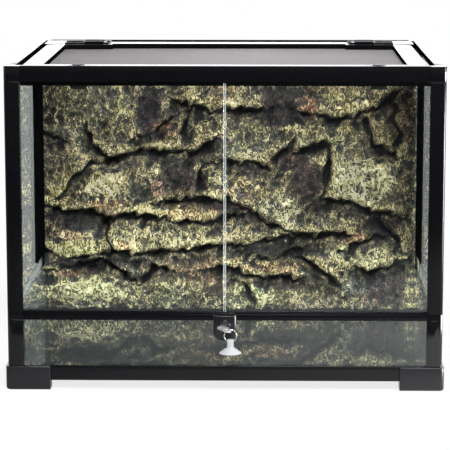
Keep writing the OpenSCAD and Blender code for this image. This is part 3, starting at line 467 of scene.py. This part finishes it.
def only(piece):
    bpy.ops.object.select_all(action="DESELECT")
    piece.select_set(True)
    bpy.context.view_layer.objects.active = piece


def applyAll(piece):
    only(piece)
    for modifier in list(piece.modifiers):
        bpy.ops.object.modifier_apply(modifier=modifier.name)


def solidCopy(name, pieceName):
    piece = bpy.data.objects.new(pieceName, nodes[name].data.copy())
    bpy.context.scene.collection.objects.link(piece)
    only(piece)
    bpy.ops.object.mode_set(mode="EDIT")
    bpy.ops.mesh.select_all(action="SELECT")
    bpy.ops.mesh.remove_doubles(threshold=edges["weld"])
    bpy.ops.mesh.dissolve_limited(angle_limit=math.radians(edges["flatDeg"]))
    bpy.ops.object.mode_set(mode="OBJECT")
    return piece


def camelName(name):
    first, *rest = name.split("_")
    return first + "".join(word.capitalize() for word in rest)


def settle(piece, name):
    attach(piece, bodyOf[name])
    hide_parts(name)


def softenEdges(name, width, finish=None):
    piece = solidCopy(name, camelName(name))
    bevel = piece.modifiers.new("softEdges", "BEVEL")
    bevel.width = width
    bevel.segments = edges["segments"]
    bevel.limit_method = "ANGLE"
    bevel.angle_limit = math.radians(edges["sharpDeg"])
    applyAll(piece)
    bpy.ops.object.shade_smooth_by_angle(angle=math.radians(edges["sharpDeg"]))
    if finish:
        piece.data.materials[0] = finishes[finish]
    settle(piece, name)
    return piece


def dullWalls(piece, keepOutside=False):
    # upright walls around the seat of the lid are matt, and only the tops shine
    piece.data.materials.append(finishes["dull_plastic"])
    for face in piece.data.polygons:
        outside = abs(face.center.x) > edges["insideX"] or face.center.y < edges["insideY"]
        if abs(face.normal.z) < edges["upright"] and not (keepOutside and outside):
            face.material_index = 1


def dullTops(piece):
    # what lies behind the doors takes no shine from the background
    piece.data.materials.append(finishes["dull_plastic"])
    for face in piece.data.polygons:
        if face.normal.z > edges["upright"]:
            face.material_index = 1


for name in sorted(nodes):
    if name.startswith("foot_"):
        softenEdges(name, edges["feet"], "foot_plastic")
    elif name.startswith("base_rail"):
        softenEdges(name, edges["frame"], "rail_plastic")
    elif name == "mid_rail":
        dullTops(softenEdges(name, edges["frame"], "sill_plastic"))
    elif name == "top_rail_rear":
        softenEdges(name, edges["frame"], "dull_plastic")
    elif name.startswith("top_"):
        dullWalls(softenEdges(name, edges["frame"]), keepOutside=True)
    elif name.startswith(("door_stile", "door_jamb")):
        softenEdges(name, edges["frame"], "sill_plastic")
    elif name.startswith(("lower_post", "rear_post")):
        softenEdges(name, edges["frame"])
    elif name == "lid_frame":
        dullWalls(softenEdges(name, edges["lid"]))
    elif name.startswith("lid_clip"):
        softenEdges(name, edges["clips"])
    elif name.startswith("inlet_"):
        dullWalls(softenEdges(name, edges["inlets"]))
    elif name in ("lock_body", "lock_back_plate"):
        softenEdges(name, edges["lock"])
print("moulded pieces softened")


pane = {"chamfer": 0.0009, "ground": ("door_glass_left", "door_glass_right"), "sideways": 0.3}


def groundPane(name):
    # the upright edges of a door's pane are ground and matt
    piece = solidCopy(name, camelName(name))
    piece.data.materials.append(finishes["ground_edge"])
    chamfer = piece.modifiers.new("arris", "BEVEL")
    chamfer.width = pane["chamfer"]
    chamfer.segments = 1
    chamfer.limit_method = "ANGLE"
    applyAll(piece)
    for face in piece.data.polygons:
        if abs(face.normal.x) > pane["sideways"]:
            face.material_index = 1
    settle(piece, name)


for name in pane["ground"]:
    groundPane(name)
print("panes ready")


trim = {
    "thickLeft": 0.0048, "thickRight": 0.0026, "gap": 0.0001, "round": 0.0012,
    "front": 0.1, "rear": 0.205, "foot": 0.1225, "head": 0.425,
}


def cornerTrim(name, side, thick):
    # a dark strip stands on the side glass in front of the background
    x = side * (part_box("side_glass_right")[0].x - thick / 2 - trim["gap"])
    y, z = (trim["front"] + trim["rear"]) / 2, (trim["foot"] + trim["head"]) / 2
    bpy.ops.object.select_all(action="DESELECT")
    bpy.ops.mesh.primitive_cube_add(size=1, location=(x, y, z))
    strip = bpy.context.object
    strip.name = name
    strip.scale = (thick, trim["rear"] - trim["front"], trim["head"] - trim["foot"])
    bpy.ops.object.transform_apply(location=True, rotation=True, scale=True)
    soft = strip.modifiers.new("softEdges", "BEVEL")
    soft.width = trim["round"]
    soft.segments = edges["segments"]
    applyAll(strip)
    bpy.ops.object.shade_smooth_by_angle(angle=math.radians(edges["sharpDeg"]))
    strip.data.materials.append(finishes["dull_plastic"])
    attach(strip, bodyOf["rock_background"])


cornerTrim("cornerTrimLeft", -1, trim["thickLeft"])
cornerTrim("cornerTrimRight", 1, trim["thickRight"])
print("corner trims ready")


mesh = {
    "pitch": 0.0019, "wire": 0.00023, "sides": 6, "weftLift": 0.00025, "warpLift": 0.0006,
    "waistX": 0.178, "waistY": 0.15665,    # the lid is narrower behind this, between the cable inlets
}


def wireRun(name, start, end, level, count):
    crosswise = start[1] == end[1]
    centre = [(a + b) / 2 for a, b in zip(start, end)]
    length = (Vector(end) - Vector(start)).length
    turn = (0, math.pi / 2, 0) if crosswise else (math.pi / 2, 0, 0)
    bpy.ops.object.select_all(action="DESELECT")
    bpy.ops.mesh.primitive_cylinder_add(vertices=mesh["sides"], radius=mesh["wire"], depth=length,
                                        location=(*centre, level), rotation=turn, end_fill_type="TRIFAN")
    run = bpy.context.object
    run.name = name
    bpy.ops.object.transform_apply(location=True, rotation=True, scale=True)
    repeat = run.modifiers.new("weave", "ARRAY")
    repeat.use_relative_offset = False
    repeat.use_constant_offset = True
    repeat.constant_offset_displace = (0, mesh["pitch"], 0) if crosswise else (mesh["pitch"], 0, 0)
    repeat.count = count
    applyAll(run)
    return run


def wovenMesh():
    low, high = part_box("lid_mesh")
    pitch, half, waist, waistY = mesh["pitch"], high.x, mesh["waistX"], mesh["waistY"]
    edge = pitch / 2
    weft, warp = low.z + mesh["weftLift"], low.z + mesh["warpLift"]
    rows = int((waistY - low.y) / pitch)
    rearRows = int((high.y - waistY) / pitch)
    columns = int(2 * waist / pitch)
    sideColumns = int((half - waist) / pitch)
    parts = [
        wireRun("weftFront", (-half, low.y + edge), (half, low.y + edge), weft, rows),
        wireRun("weftRear", (-waist, waistY + edge), (waist, waistY + edge), weft, rearRows),
        wireRun("warpMiddle", (-waist + edge, low.y), (-waist + edge, high.y), warp, columns),
        wireRun("warpLeft", (-half + edge, low.y), (-half + edge, waistY), warp, sideColumns),
        wireRun("warpRight", (waist + edge, low.y), (waist + edge, waistY), warp, sideColumns),
    ]
    bpy.ops.object.select_all(action="DESELECT")
    for part in parts:
        part.select_set(True)
    bpy.context.view_layer.objects.active = parts[0]
    bpy.ops.object.join()
    woven = bpy.context.object
    woven.name = "wovenMesh"
    bpy.ops.object.shade_smooth()
    woven.data.materials.clear()
    woven.data.materials.append(finishes["mesh_wire"])
    settle(woven, "lid_mesh")


wovenMesh()
print("woven mesh ready")


rock = {
    "columns": 330, "rows": 222, "width": 584, "height": 394,
    # millimetres of foam: at the rim, added further in, and the limits
    "rim": 15, "body": 24, "thinnest": 7.5, "thickest": 48.5,
    "sideSlope": 45, "sideShare": 0.45, "endSlope": 30, "endShare": 0.4,
    # how far the drawn lines waver, twice: amount, size and seed
    "waverAcross": (3.0, 13, 1.0), "waverUp": (3.0, 11, 4.0),
    # how deep a crevice cuts along its run: middle, change, size of the change, least and most
    "force": (0.85, 0.4, 19, 0.35, 1.3),
    "creviceDepth": 17, "creviceWidth": 5.5,
    # amount, place above the line and reach
    "overhang": (5, 10, 8), "underside": (6, -13, 10),
    # a painted shadow below each crevice and a painted highlight along its lip
    "shadowBelow": (0.65, -9, 7), "lipLine": (1, 11, 5),
    # each crevice runs left to right: across from the middle and up from the foot, in millimetres
    "cracks": [
        [(-215, 275), (-210, 255), (-190, 240), (-130, 248), (-90, 252), (-50, 247), (-30, 265)],
        [(-260, 190), (-240, 210), (-215, 232), (-180, 238)],
        [(-290, 277), (-270, 274)],
        [(-140, 274), (-120, 282), (-90, 302)],
        [(-72, 278), (-62, 312)],
        [(-70, 326), (-35, 315), (30, 315), (50, 318)],
        [(-50, 202), (-45, 230), (-10, 235), (45, 230), (65, 220), (85, 252)],
        [(-100, 174), (-5, 175), (20, 164), (65, 134), (130, 115), (180, 121)],
        [(110, 315), (140, 306), (170, 300), (210, 312), (250, 331), (265, 350)],
        [(210, 300), (225, 260), (265, 242)],
        [(255, 325), (265, 270)],
        [(120, 254), (150, 262), (155, 235), (145, 176), (190, 169), (230, 153), (260, 150)],
        [(-292, 160), (-225, 155), (-185, 142), (-165, 149), (-90, 143), (-35, 138), (10, 151)],
        [(-194, 142), (-186, 88)],
        [(-290, 92), (-255, 77), (-225, 86), (-100, 91), (45, 108), (90, 116)],
        [(-290, 59), (-240, 65), (-205, 77)],
        [(-186, 67), (-140, 40), (-120, 64), (-100, 64)],
        [(50, 82), (80, 84), (105, 95)],
        [(-28, 64), (0, 66), (25, 53), (90, 50)],
        [(25, 36), (40, 8)],
        [(236, 140), (265, 107)],
        [(190, 100), (230, 113)],
        [(120, 79), (145, 62), (175, 31)],
        [(210, 64), (220, 56), (265, 77)]],
    # across, up, half width, half height, extra thickness
    "boulders": [
        (205, 215, 60, 48, 9), (-185, 205, 48, 34, 8), (-130, 300, 70, 40, 7), (5, 280, 70, 50, 4),
        (-240, 115, 50, 28, 6), (-90, 120, 80, 22, 8), (-240, 30, 50, 26, 8), (100, 190, 45, 30, 5),
        (210, 80, 50, 26, 5), (40, 345, 60, 26, 5), (190, 350, 60, 30, 6), (-30, 20, 70, 22, 3)],
    # rugged surface in three sizes: name, texture, size and depth in metres, detail
    "rugged": [
        ("crags", "CLOUDS", 0.05, 0.014, 3), ("ridges", "MUSGRAVE", 0.016, 0.0025, 4),
        ("grit", "CLOUDS", 0.0045, 0.0024, 3)],
    "hollows": [(7, 4.0), (2, 1.6)],    # blur in cells, depth in millimetres
    "hollowLimits": (-0.9, 1.4),
    "frontReach": 0.0008,    # the crests may stand this far in front of the solid
    "rimStep": 0.0001, "backFacing": 0.9, "backSlack": 0.0005,
    # the base paint, the pale paint on the strands and the cold dark between them, partly painted shade
    "moss": (0.285, 0.24, 0.128), "cream": (0.8, 0.655, 0.4, 1), "night": (0.045, 0.045, 0.05, 1),
    "strandScale": 118.0, "strandWidth": 0.06, "strandLean": 0.5, "strandStretch": (1.15, 1.0, 0.7),
    "crest": (7.0, 1.7), "hollow": 0.72, "cold": 0.4,
    # painted shade in the hollows and a painted highlight on the lips above the crevices
    "wash": 0.65, "lipTone": 0.5, "toneLimits": (0.15, 1.7),
    # a cold grey, then the painted shade in the crevices: its colour, its strength and most
    "coldGrey": (0.92, 0.97, 1.0), "deepColour": (0.012, 0.012, 0.02), "deepShade": (1.05, 0.93),
    # how grey it is: everywhere, in the hollows, then the amount, size and seed of a waver
    "dull": (0.15, 0.9, 0.25, 23, 6.0), "dullMost": 0.8,
    "ragged": ((0.18, 7, 0), (0.12, 3.1, 2)), "patchReach": 1.15, "patchFade": 0.5,
    "fineScale": 460.0, "specks": (0.35, 0.65, 0.5, 1.5),
    "broadScale": 42.0, "clouds": (0.3, 0.7, 0.55, 1.4),
    "gloss": (0, 1, 0.4, 0.7), "fineHeight": 0.35, "bumpDistance": 0.003,
    # painted patches, partly the foam's own colours and partly painted shade in recesses and painted
    # highlight on lit ridges: across, up, half width, half height, colour, strength
    "patches": [
        (-123, 314, 22, 42, (0.035, 0.02, 0.045), 0.92),
        (-89, 313, 15, 13, (0.05, 0.03, 0.045), 0.8),
        (-102, 285, 18, 15, (0.34, 0.15, 0.08), 0.85),
        (-165, 326, 18, 24, (0.42, 0.4, 0.15), 0.75),
        (-225, 330, 40, 26, (0.2, 0.22, 0.12), 0.6),
        (-268, 276, 24, 16, (0.09, 0.1, 0.11), 0.8),
        (-271, 246, 20, 20, (0.28, 0.19, 0.12), 0.75),
        (-266, 190, 20, 28, (0.44, 0.38, 0.13), 0.75),
        (-196, 202, 40, 34, (0.55, 0.5, 0.26), 0.85),
        (-190, 171, 34, 9, (0.52, 0.27, 0.12), 0.75),
        (-76, 212, 34, 30, (0.05, 0.03, 0.045), 0.92),
        (-113, 194, 12, 15, (0.35, 0.18, 0.13), 0.85),
        (-135, 186, 17, 14, (0.03, 0.04, 0.05), 0.85),
        (-118, 160, 38, 10, (0.55, 0.5, 0.22), 0.85),
        (-62, 156, 44, 13, (0.5, 0.35, 0.15), 0.8),
        (-226, 151, 62, 8, (0.1, 0.04, 0.04), 0.85),
        (-235, 136, 46, 14, (0.025, 0.025, 0.035), 0.9),
        (-255, 119, 27, 9, (0.5, 0.32, 0.2), 0.8),
        (-240, 100, 50, 14, (0.38, 0.36, 0.13), 0.75),
        (-95, 118, 95, 26, (0.46, 0.41, 0.22), 0.75),
        (-165, 100, 14, 10, (0.5, 0.28, 0.12), 0.7),
        (-200, 75, 98, 12, (0.03, 0.03, 0.045), 0.9),
        (-205, 62, 9, 6, (0.45, 0.08, 0.06), 0.9),
        (-242, 56, 32, 5, (0.3, 0.1, 0.06), 0.8),
        (-215, 24, 74, 28, (0.42, 0.42, 0.22), 0.75),
        (-152, 54, 20, 14, (0.05, 0.06, 0.075), 0.85),
        (-48, 66, 58, 25, (0.2, 0.11, 0.07), 0.8),
        (-30, 52, 13, 8, (0.48, 0.23, 0.1), 0.75),
        (-16, 32, 26, 14, (0.06, 0.03, 0.035), 0.85),
        (-85, 20, 44, 20, (0.2, 0.22, 0.14), 0.6),
        (-45, 340, 45, 18, (0.3, 0.26, 0.12), 0.6),
        (-6, 335, 14, 24, (0.36, 0.23, 0.11), 0.65),
        (-22, 248, 32, 18, (0.12, 0.12, 0.09), 0.75),
        (-15, 202, 26, 26, (0.36, 0.33, 0.18), 0.65),
        (-16, 165, 26, 9, (0.06, 0.025, 0.03), 0.85),
        (80, 318, 36, 48, (0.04, 0.03, 0.045), 0.92),
        (124, 322, 14, 26, (0.32, 0.14, 0.08), 0.88),
        (18, 328, 28, 20, (0.42, 0.37, 0.19), 0.65),
        (180, 334, 36, 20, (0.52, 0.45, 0.17), 0.75),
        (281, 305, 18, 44, (0.2, 0.11, 0.085), 0.85),
        (137, 289, 76, 6, (0.6, 0.5, 0.18), 0.9),
        (28, 265, 38, 30, (0.3, 0.3, 0.18), 0.65),
        (150, 266, 68, 15, (0.19, 0.2, 0.12), 0.65),
        (94, 242, 28, 22, (0.06, 0.03, 0.04), 0.9),
        (120, 205, 30, 34, (0.06, 0.03, 0.038), 0.92),
        (150, 168, 30, 16, (0.05, 0.03, 0.035), 0.85),
        (98, 246, 16, 8, (0.42, 0.19, 0.1), 0.75),
        (133, 216, 11, 14, (0.2, 0.08, 0.06), 0.7),
        (207, 212, 46, 38, (0.6, 0.58, 0.3), 0.88),
        (202, 188, 18, 11, (0.9, 0.84, 0.55), 0.85),
        (20, 198, 30, 25, (0.52, 0.38, 0.18), 0.82),
        (78, 156, 36, 28, (0.52, 0.51, 0.29), 0.82),
        (16, 164, 20, 9, (0.05, 0.025, 0.03), 0.88),
        (52, 144, 28, 9, (0.05, 0.025, 0.03), 0.88),
        (238, 132, 34, 24, (0.05, 0.03, 0.04), 0.92),
        (194, 118, 26, 8, (0.52, 0.25, 0.13), 0.85),
        (281, 195, 22, 72, (0.3, 0.25, 0.12), 0.75),
        (75, 96, 84, 14, (0.02, 0.022, 0.03), 0.92),
        (75, 69, 68, 10, (0.44, 0.27, 0.13), 0.82),
        (200, 85, 46, 20, (0.48, 0.45, 0.22), 0.82),
        (98, 42, 62, 13, (0.05, 0.03, 0.032), 0.85),
        (32, 20, 42, 22, (0.38, 0.4, 0.19), 0.75),
        (126, 14, 36, 12, (0.46, 0.36, 0.22), 0.75),
        (246, 36, 36, 38, (0.075, 0.05, 0.07), 0.92),
        (222, 10, 15, 12, (0.44, 0.26, 0.17), 0.85),
        (196, 36, 24, 17, (0.11, 0.13, 0.14), 0.8),
        (289, 24, 10, 26, (0.46, 0.4, 0.15), 0.75)],
}


def stretchOffset(points, a, b):
    a, b = np.array(a, float), np.array(b, float)
    along = b - a
    t = np.clip(((points - a) @ along) / (along @ along), 0, 1)
    gap = np.linalg.norm(points - a - t[:, None] * along, axis=1)
    above = along[0] * (points[:, 1] - a[1]) - along[1] * (points[:, 0] - a[0])
    return np.where(above > 0, gap, -gap)


def crackOffset(points, line):
    best = np.full(len(points), 1e6)
    for a, b in zip(line, line[1:]):
        offset = stretchOffset(points, a, b)
        best = np.where(np.abs(offset) < np.abs(best), offset, best)
    return best


def hump(x):
    return np.exp(-x * x)


def ridge(offset, amount, middle, reach):
    return amount * hump((offset - middle) / reach)


def waver(points, size, seed):
    # an uneven wave over the panel, about as long as its size in millimetres
    x, z = points[:, 0] / size, points[:, 1] / size
    broad = np.sin(x + 1.7 * np.sin(z * 1.3 + seed) + seed)
    broad = broad * np.cos(z * 1.1 + 1.4 * np.sin(x * 0.9 - seed))
    return broad + 0.5 * np.sin(2.3 * x - 1.9 * z + 2 * np.sin(x * 1.7 + seed))


def rockShape(points):
    # thickness, the painted shade in and below each crevice, and the painted highlight along the lip
    # above one
    x, z = points[:, 0], points[:, 1]
    bends = [amount * waver(points, size, seed)
             for amount, size, seed in (rock["waverAcross"], rock["waverUp"])]
    bent = points + np.stack(bends, axis=1)
    side = np.minimum(1, (rock["width"] / 2 - np.abs(x)) / rock["sideSlope"])
    end = np.minimum(1, np.minimum(z, rock["height"] - z) / rock["endSlope"])
    inward = (1 - rock["sideShare"] * (1 - side)) * (1 - rock["endShare"] * (1 - end))
    thick = rock["rim"] + rock["body"] * inward
    for across, up, halfWide, halfHigh, extra in rock["boulders"]:
        thick = thick + extra * hump(np.hypot((x - across) / halfWide, (z - up) / halfHigh))
    shade, lipHighlight = np.zeros(len(points)), np.zeros(len(points))
    middle, change, size, least, most = rock["force"]
    for i, line in enumerate(rock["cracks"]):
        above = crackOffset(bent, line)
        force = np.clip(middle + change * waver(points, size, i), least, most)
        width = rock["creviceWidth"] * force
        cut = ridge(above, rock["creviceDepth"], 0, width) + ridge(above, *rock["underside"])
        thick = thick + force * (ridge(above, *rock["overhang"]) - cut)
        # painted shade in the crevice and a painted shadow below it
        dark = np.maximum(hump(above / width), ridge(above, *rock["shadowBelow"]))
        shade = np.maximum(shade, force * dark)
        # a painted highlight along the lip above each crevice
        lipHighlight = np.maximum(lipHighlight, force * ridge(above, *rock["lipLine"]))
    return np.clip(thick, rock["thinnest"], rock["thickest"]), shade, lipHighlight


def paintRock(points, shade, lipHighlight, hollow):
    colour = np.tile(np.array(rock["moss"]), (len(points), 1))
    for i, (across, up, halfWide, halfHigh, tint, strength) in enumerate(rock["patches"]):
        ragged = sum(amount * waver(points, size, i + seed) for amount, size, seed in rock["ragged"])
        reach = np.hypot((points[:, 0] - across) / halfWide, (points[:, 1] - up) / halfHigh)
        mask = np.clip((rock["patchReach"] - reach + ragged) / rock["patchFade"], 0, 1) * strength
        colour = colour * (1 - mask[:, None]) + np.array(tint) * mask[:, None]
    # painted shade darkens the hollows, a painted highlight lightens the lips above the crevices
    tone = np.clip(1.0 + rock["lipTone"] * lipHighlight - rock["wash"] * hollow, *rock["toneLimits"])
    colour = colour * tone[:, None]
    grey = colour.mean(axis=1, keepdims=True) * np.array(rock["coldGrey"])
    plain, inHollows, change, size, seed = rock["dull"]
    dull = plain + inHollows * hollow + change * waver(points, size, seed)
    dull = np.clip(dull, 0, rock["dullMost"])[:, None]
    colour = colour * (1 - dull) + grey * dull
    # painted shade, nearly black, in and below the crevices
    strength, most = rock["deepShade"]
    deep = np.clip(shade * strength, 0, most)[:, None]
    return colour * (1 - deep) + np.array(rock["deepColour"]) * deep


def blurred(field, size):
    # a soft blur, cut off at three times its size
    spread = int(3 * size)
    weights = np.exp(-0.5 * (np.arange(-spread, spread + 1) / size) ** 2)
    weights /= weights.sum()
    padded = np.pad(field, spread, mode="edge")
    padded = np.apply_along_axis(lambda line: np.convolve(line, weights, "valid"), 0, padded)
    return np.apply_along_axis(lambda line: np.convolve(line, weights, "valid"), 1, padded)


def addRock():
    low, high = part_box("rock_background")
    columns, rows = rock["columns"], rock["rows"]
    bpy.ops.object.select_all(action="DESELECT")
    bpy.ops.mesh.primitive_grid_add(x_subdivisions=columns, y_subdivisions=rows, size=1)
    panel = bpy.context.object
    panel.name = "rockPanel"
    data = panel.data
    flat = np.empty(len(data.vertices) * 3)
    data.vertices.foreach_get("co", flat)
    flat = flat.reshape(-1, 3)
    points = np.stack([flat[:, 0] * rock["width"], (flat[:, 1] + 0.5) * rock["height"]], axis=1)
    thick, shade, lipHighlight = rockShape(points)
    place = np.empty_like(flat)
    place[:, 0] = flat[:, 0] * (high.x - low.x)
    place[:, 1] = high.y - thick / 1000
    place[:, 2] = low.z + (flat[:, 1] + 0.5) * (high.z - low.z)
    data.vertices.foreach_set("co", place.ravel())
    data.update()
    for label, kind, size, strength, detail in rock["rugged"]:
        texture = bpy.data.textures.new(label, kind)
        texture.noise_scale = size
        if kind == "MUSGRAVE":
            texture.musgrave_type = "RIDGED_MULTIFRACTAL"
            texture.octaves = detail
        else:
            texture.noise_depth = detail
        rough = panel.modifiers.new(label, "DISPLACE")
        rough.texture = texture
        rough.direction = "Y"
        rough.mid_level = 0.5
        rough.strength = -strength
    applyAll(panel)
    places = np.empty(len(data.vertices) * 3)
    data.vertices.foreach_get("co", places)
    height = -1000 * places.reshape(rows + 1, columns + 1, 3)[:, :, 1]
    # how far each place lies below its blurred surroundings, which sets the painted shade in the hollows
    hollow = sum((blurred(height, size) - height) / deep for size, deep in rock["hollows"])
    hollow = np.clip(hollow.ravel(), *rock["hollowLimits"])
    paint = data.color_attributes.new("paint", "FLOAT_COLOR", "POINT")
    colours = np.ones((len(points), 4))
    colours[:, :3] = paintRock(points, shade, lipHighlight, hollow)
    paint.data.foreach_set("color", colours.ravel())
    depth = data.attributes.new("depth", "FLOAT", "POINT")
    depth.data.foreach_set("value", shade)
    # the rim runs back to the glass
    bpy.ops.object.mode_set(mode="EDIT")
    bpy.ops.mesh.select_mode(type="EDGE")
    bpy.ops.mesh.select_all(action="DESELECT")
    bpy.ops.mesh.select_non_manifold()
    bpy.ops.mesh.extrude_edges_move(TRANSFORM_OT_translate={"value": (0, rock["rimStep"], 0)})
    bpy.ops.object.mode_set(mode="OBJECT")
    front = low.y - rock["frontReach"]
    for vertex in data.vertices:
        if vertex.select:
            vertex.co.y = high.y
        elif vertex.co.y < front:
            vertex.co.y = front
    bpy.ops.object.mode_set(mode="EDIT")
    bpy.ops.mesh.edge_face_add()
    bpy.ops.mesh.select_all(action="SELECT")
    bpy.ops.mesh.normals_make_consistent(inside=False)
    bpy.ops.object.mode_set(mode="OBJECT")
    bpy.ops.object.shade_smooth()
    # the flat back is bare foam
    data.materials.clear()
    data.materials.append(rockMaterial())
    data.materials.append(finishes["bare_foam"])
    for face in data.polygons:
        atBack = abs(face.center.y - high.y) < rock["backSlack"]
        if atBack and face.normal.y > rock["backFacing"]:
            face.use_smooth = False
            face.material_index = 1
    settle(panel, "rock_background")


def rockMaterial():
    material, tree = emptyMaterial("paintedFoam")
    coord = addNode(tree, "ShaderNodeTexCoord", (-1700, 0))
    paint = addNode(tree, "ShaderNodeAttribute", (-900, 400), attribute_name="paint")
    depth = addNode(tree, "ShaderNodeAttribute", (-900, 650), attribute_name="depth")
    # mossy strands: bright winding lines over dark hollows
    drawn = addNode(tree, "ShaderNodeMapping", (-1600, 100))
    drawn.inputs["Rotation"].default_value = (0, rock["strandLean"], 0)
    drawn.inputs["Scale"].default_value = rock["strandStretch"]
    wire(tree, coord.outputs["Object"], drawn.inputs["Vector"])
    winding = addNode(tree, "ShaderNodeTexNoise", (-1450, 100), Detail=2.4, Distortion=1.4)
    winding.inputs["Scale"].default_value = rock["strandScale"]
    wire(tree, drawn.outputs[0], winding.inputs["Vector"])
    centred = addNode(tree, "ShaderNodeMath", (-1250, 100), operation="SUBTRACT")
    centred.inputs[1].default_value = 0.5
    wire(tree, winding.outputs["Fac"], centred.inputs[0])
    gap = addNode(tree, "ShaderNodeMath", (-1100, 100), operation="ABSOLUTE")
    wire(tree, centred.outputs[0], gap.inputs[0])
    strand = addRange(tree, (-950, 100), (0.0, rock["strandWidth"], 1.0, 0.0), "SMOOTHSTEP")
    wire(tree, gap.outputs[0], strand.inputs["Value"])
    fine = addNode(tree, "ShaderNodeTexNoise", (-1200, -200), Scale=rock["fineScale"], Detail=2.5,
                   Distortion=0.8)
    wire(tree, coord.outputs["Object"], fine.inputs["Vector"])
    broad = addNode(tree, "ShaderNodeTexNoise", (-1200, -500), Scale=rock["broadScale"], Detail=4.0)
    wire(tree, coord.outputs["Object"], broad.inputs["Vector"])
    speck = addRange(tree, (-950, -200), rock["specks"])
    wire(tree, fine.outputs["Fac"], speck.inputs["Value"])
    cloud = addRange(tree, (-950, -500), rock["clouds"])
    wire(tree, broad.outputs["Fac"], cloud.inputs["Value"])
    grime = addNode(tree, "ShaderNodeMath", (-550, 0), operation="MULTIPLY")
    wire(tree, speck.outputs[0], grime.inputs[0])
    wire(tree, cloud.outputs[0], grime.inputs[1])
    # pale paint on the strands, a cold dark colour between them: partly the foam's own pattern, partly
    # painted highlight and painted shade of the fine relief
    brightness = addNode(tree, "ShaderNodeRGBToBW", (-700, 500))
    wire(tree, paint.outputs["Color"], brightness.inputs[0])
    pale = addNode(tree, "ShaderNodeMix", (-500, 450), data_type="RGBA")
    wire(tree, brightness.outputs[0], pale.inputs["Factor"])
    wire(tree, paint.outputs["Color"], pale.inputs[6])
    pale.inputs[7].default_value = rock["cream"]
    lift = addNode(tree, "ShaderNodeMath", (-500, 650), operation="MULTIPLY_ADD")
    wire(tree, brightness.outputs[0], lift.inputs[0])
    lift.inputs[1].default_value, lift.inputs[2].default_value = rock["crest"]
    crest = addNode(tree, "ShaderNodeVectorMath", (-300, 450), operation="SCALE")
    wire(tree, pale.outputs[2], crest.inputs[0])
    wire(tree, lift.outputs[0], crest.inputs["Scale"])
    cold = addNode(tree, "ShaderNodeMix", (-500, 250), data_type="RGBA")
    cold.inputs["Factor"].default_value = rock["cold"]
    wire(tree, paint.outputs["Color"], cold.inputs[6])
    cold.inputs[7].default_value = rock["night"]
    wash = addNode(tree, "ShaderNodeVectorMath", (-300, 250), operation="SCALE")
    wire(tree, cold.outputs[2], wash.inputs[0])
    wash.inputs["Scale"].default_value = rock["hollow"]
    layered = addNode(tree, "ShaderNodeMix", (-120, 350), data_type="RGBA")
    wire(tree, strand.outputs[0], layered.inputs["Factor"])
    wire(tree, wash.outputs[0], layered.inputs[6])
    wire(tree, crest.outputs[0], layered.inputs[7])
    tinted = addNode(tree, "ShaderNodeVectorMath", (-60, 150), operation="SCALE")
    wire(tree, layered.outputs[2], tinted.inputs[0])
    wire(tree, grime.outputs[0], tinted.inputs["Scale"])
    shader = addNode(tree, "ShaderNodeBsdfPrincipled", (100, 100))
    # the strands are a little shiny, the crevices dull
    gloss = addRange(tree, (-550, 650), rock["gloss"])
    wire(tree, depth.outputs["Fac"], gloss.inputs["Value"])
    wire(tree, gloss.outputs[0], shader.inputs["Roughness"])
    wire(tree, tinted.outputs[0], shader.inputs["Base Color"])
    height = addNode(tree, "ShaderNodeMath", (-550, -400), operation="MULTIPLY_ADD")
    height.inputs[1].default_value = rock["fineHeight"]
    wire(tree, fine.outputs["Fac"], height.inputs[0])
    wire(tree, strand.outputs[0], height.inputs[2])
    bump = addNode(tree, "ShaderNodeBump", (-200, -300), Strength=1.0, Distance=rock["bumpDistance"])
    wire(tree, height.outputs[0], bump.inputs["Height"])
    wire(tree, bump.outputs[0], shader.inputs["Normal"])
    out = addNode(tree, "ShaderNodeOutputMaterial", (400, 100))
    wire(tree, shader.outputs[0], out.inputs[0])
    return material


addRock()
print("rock background ready")
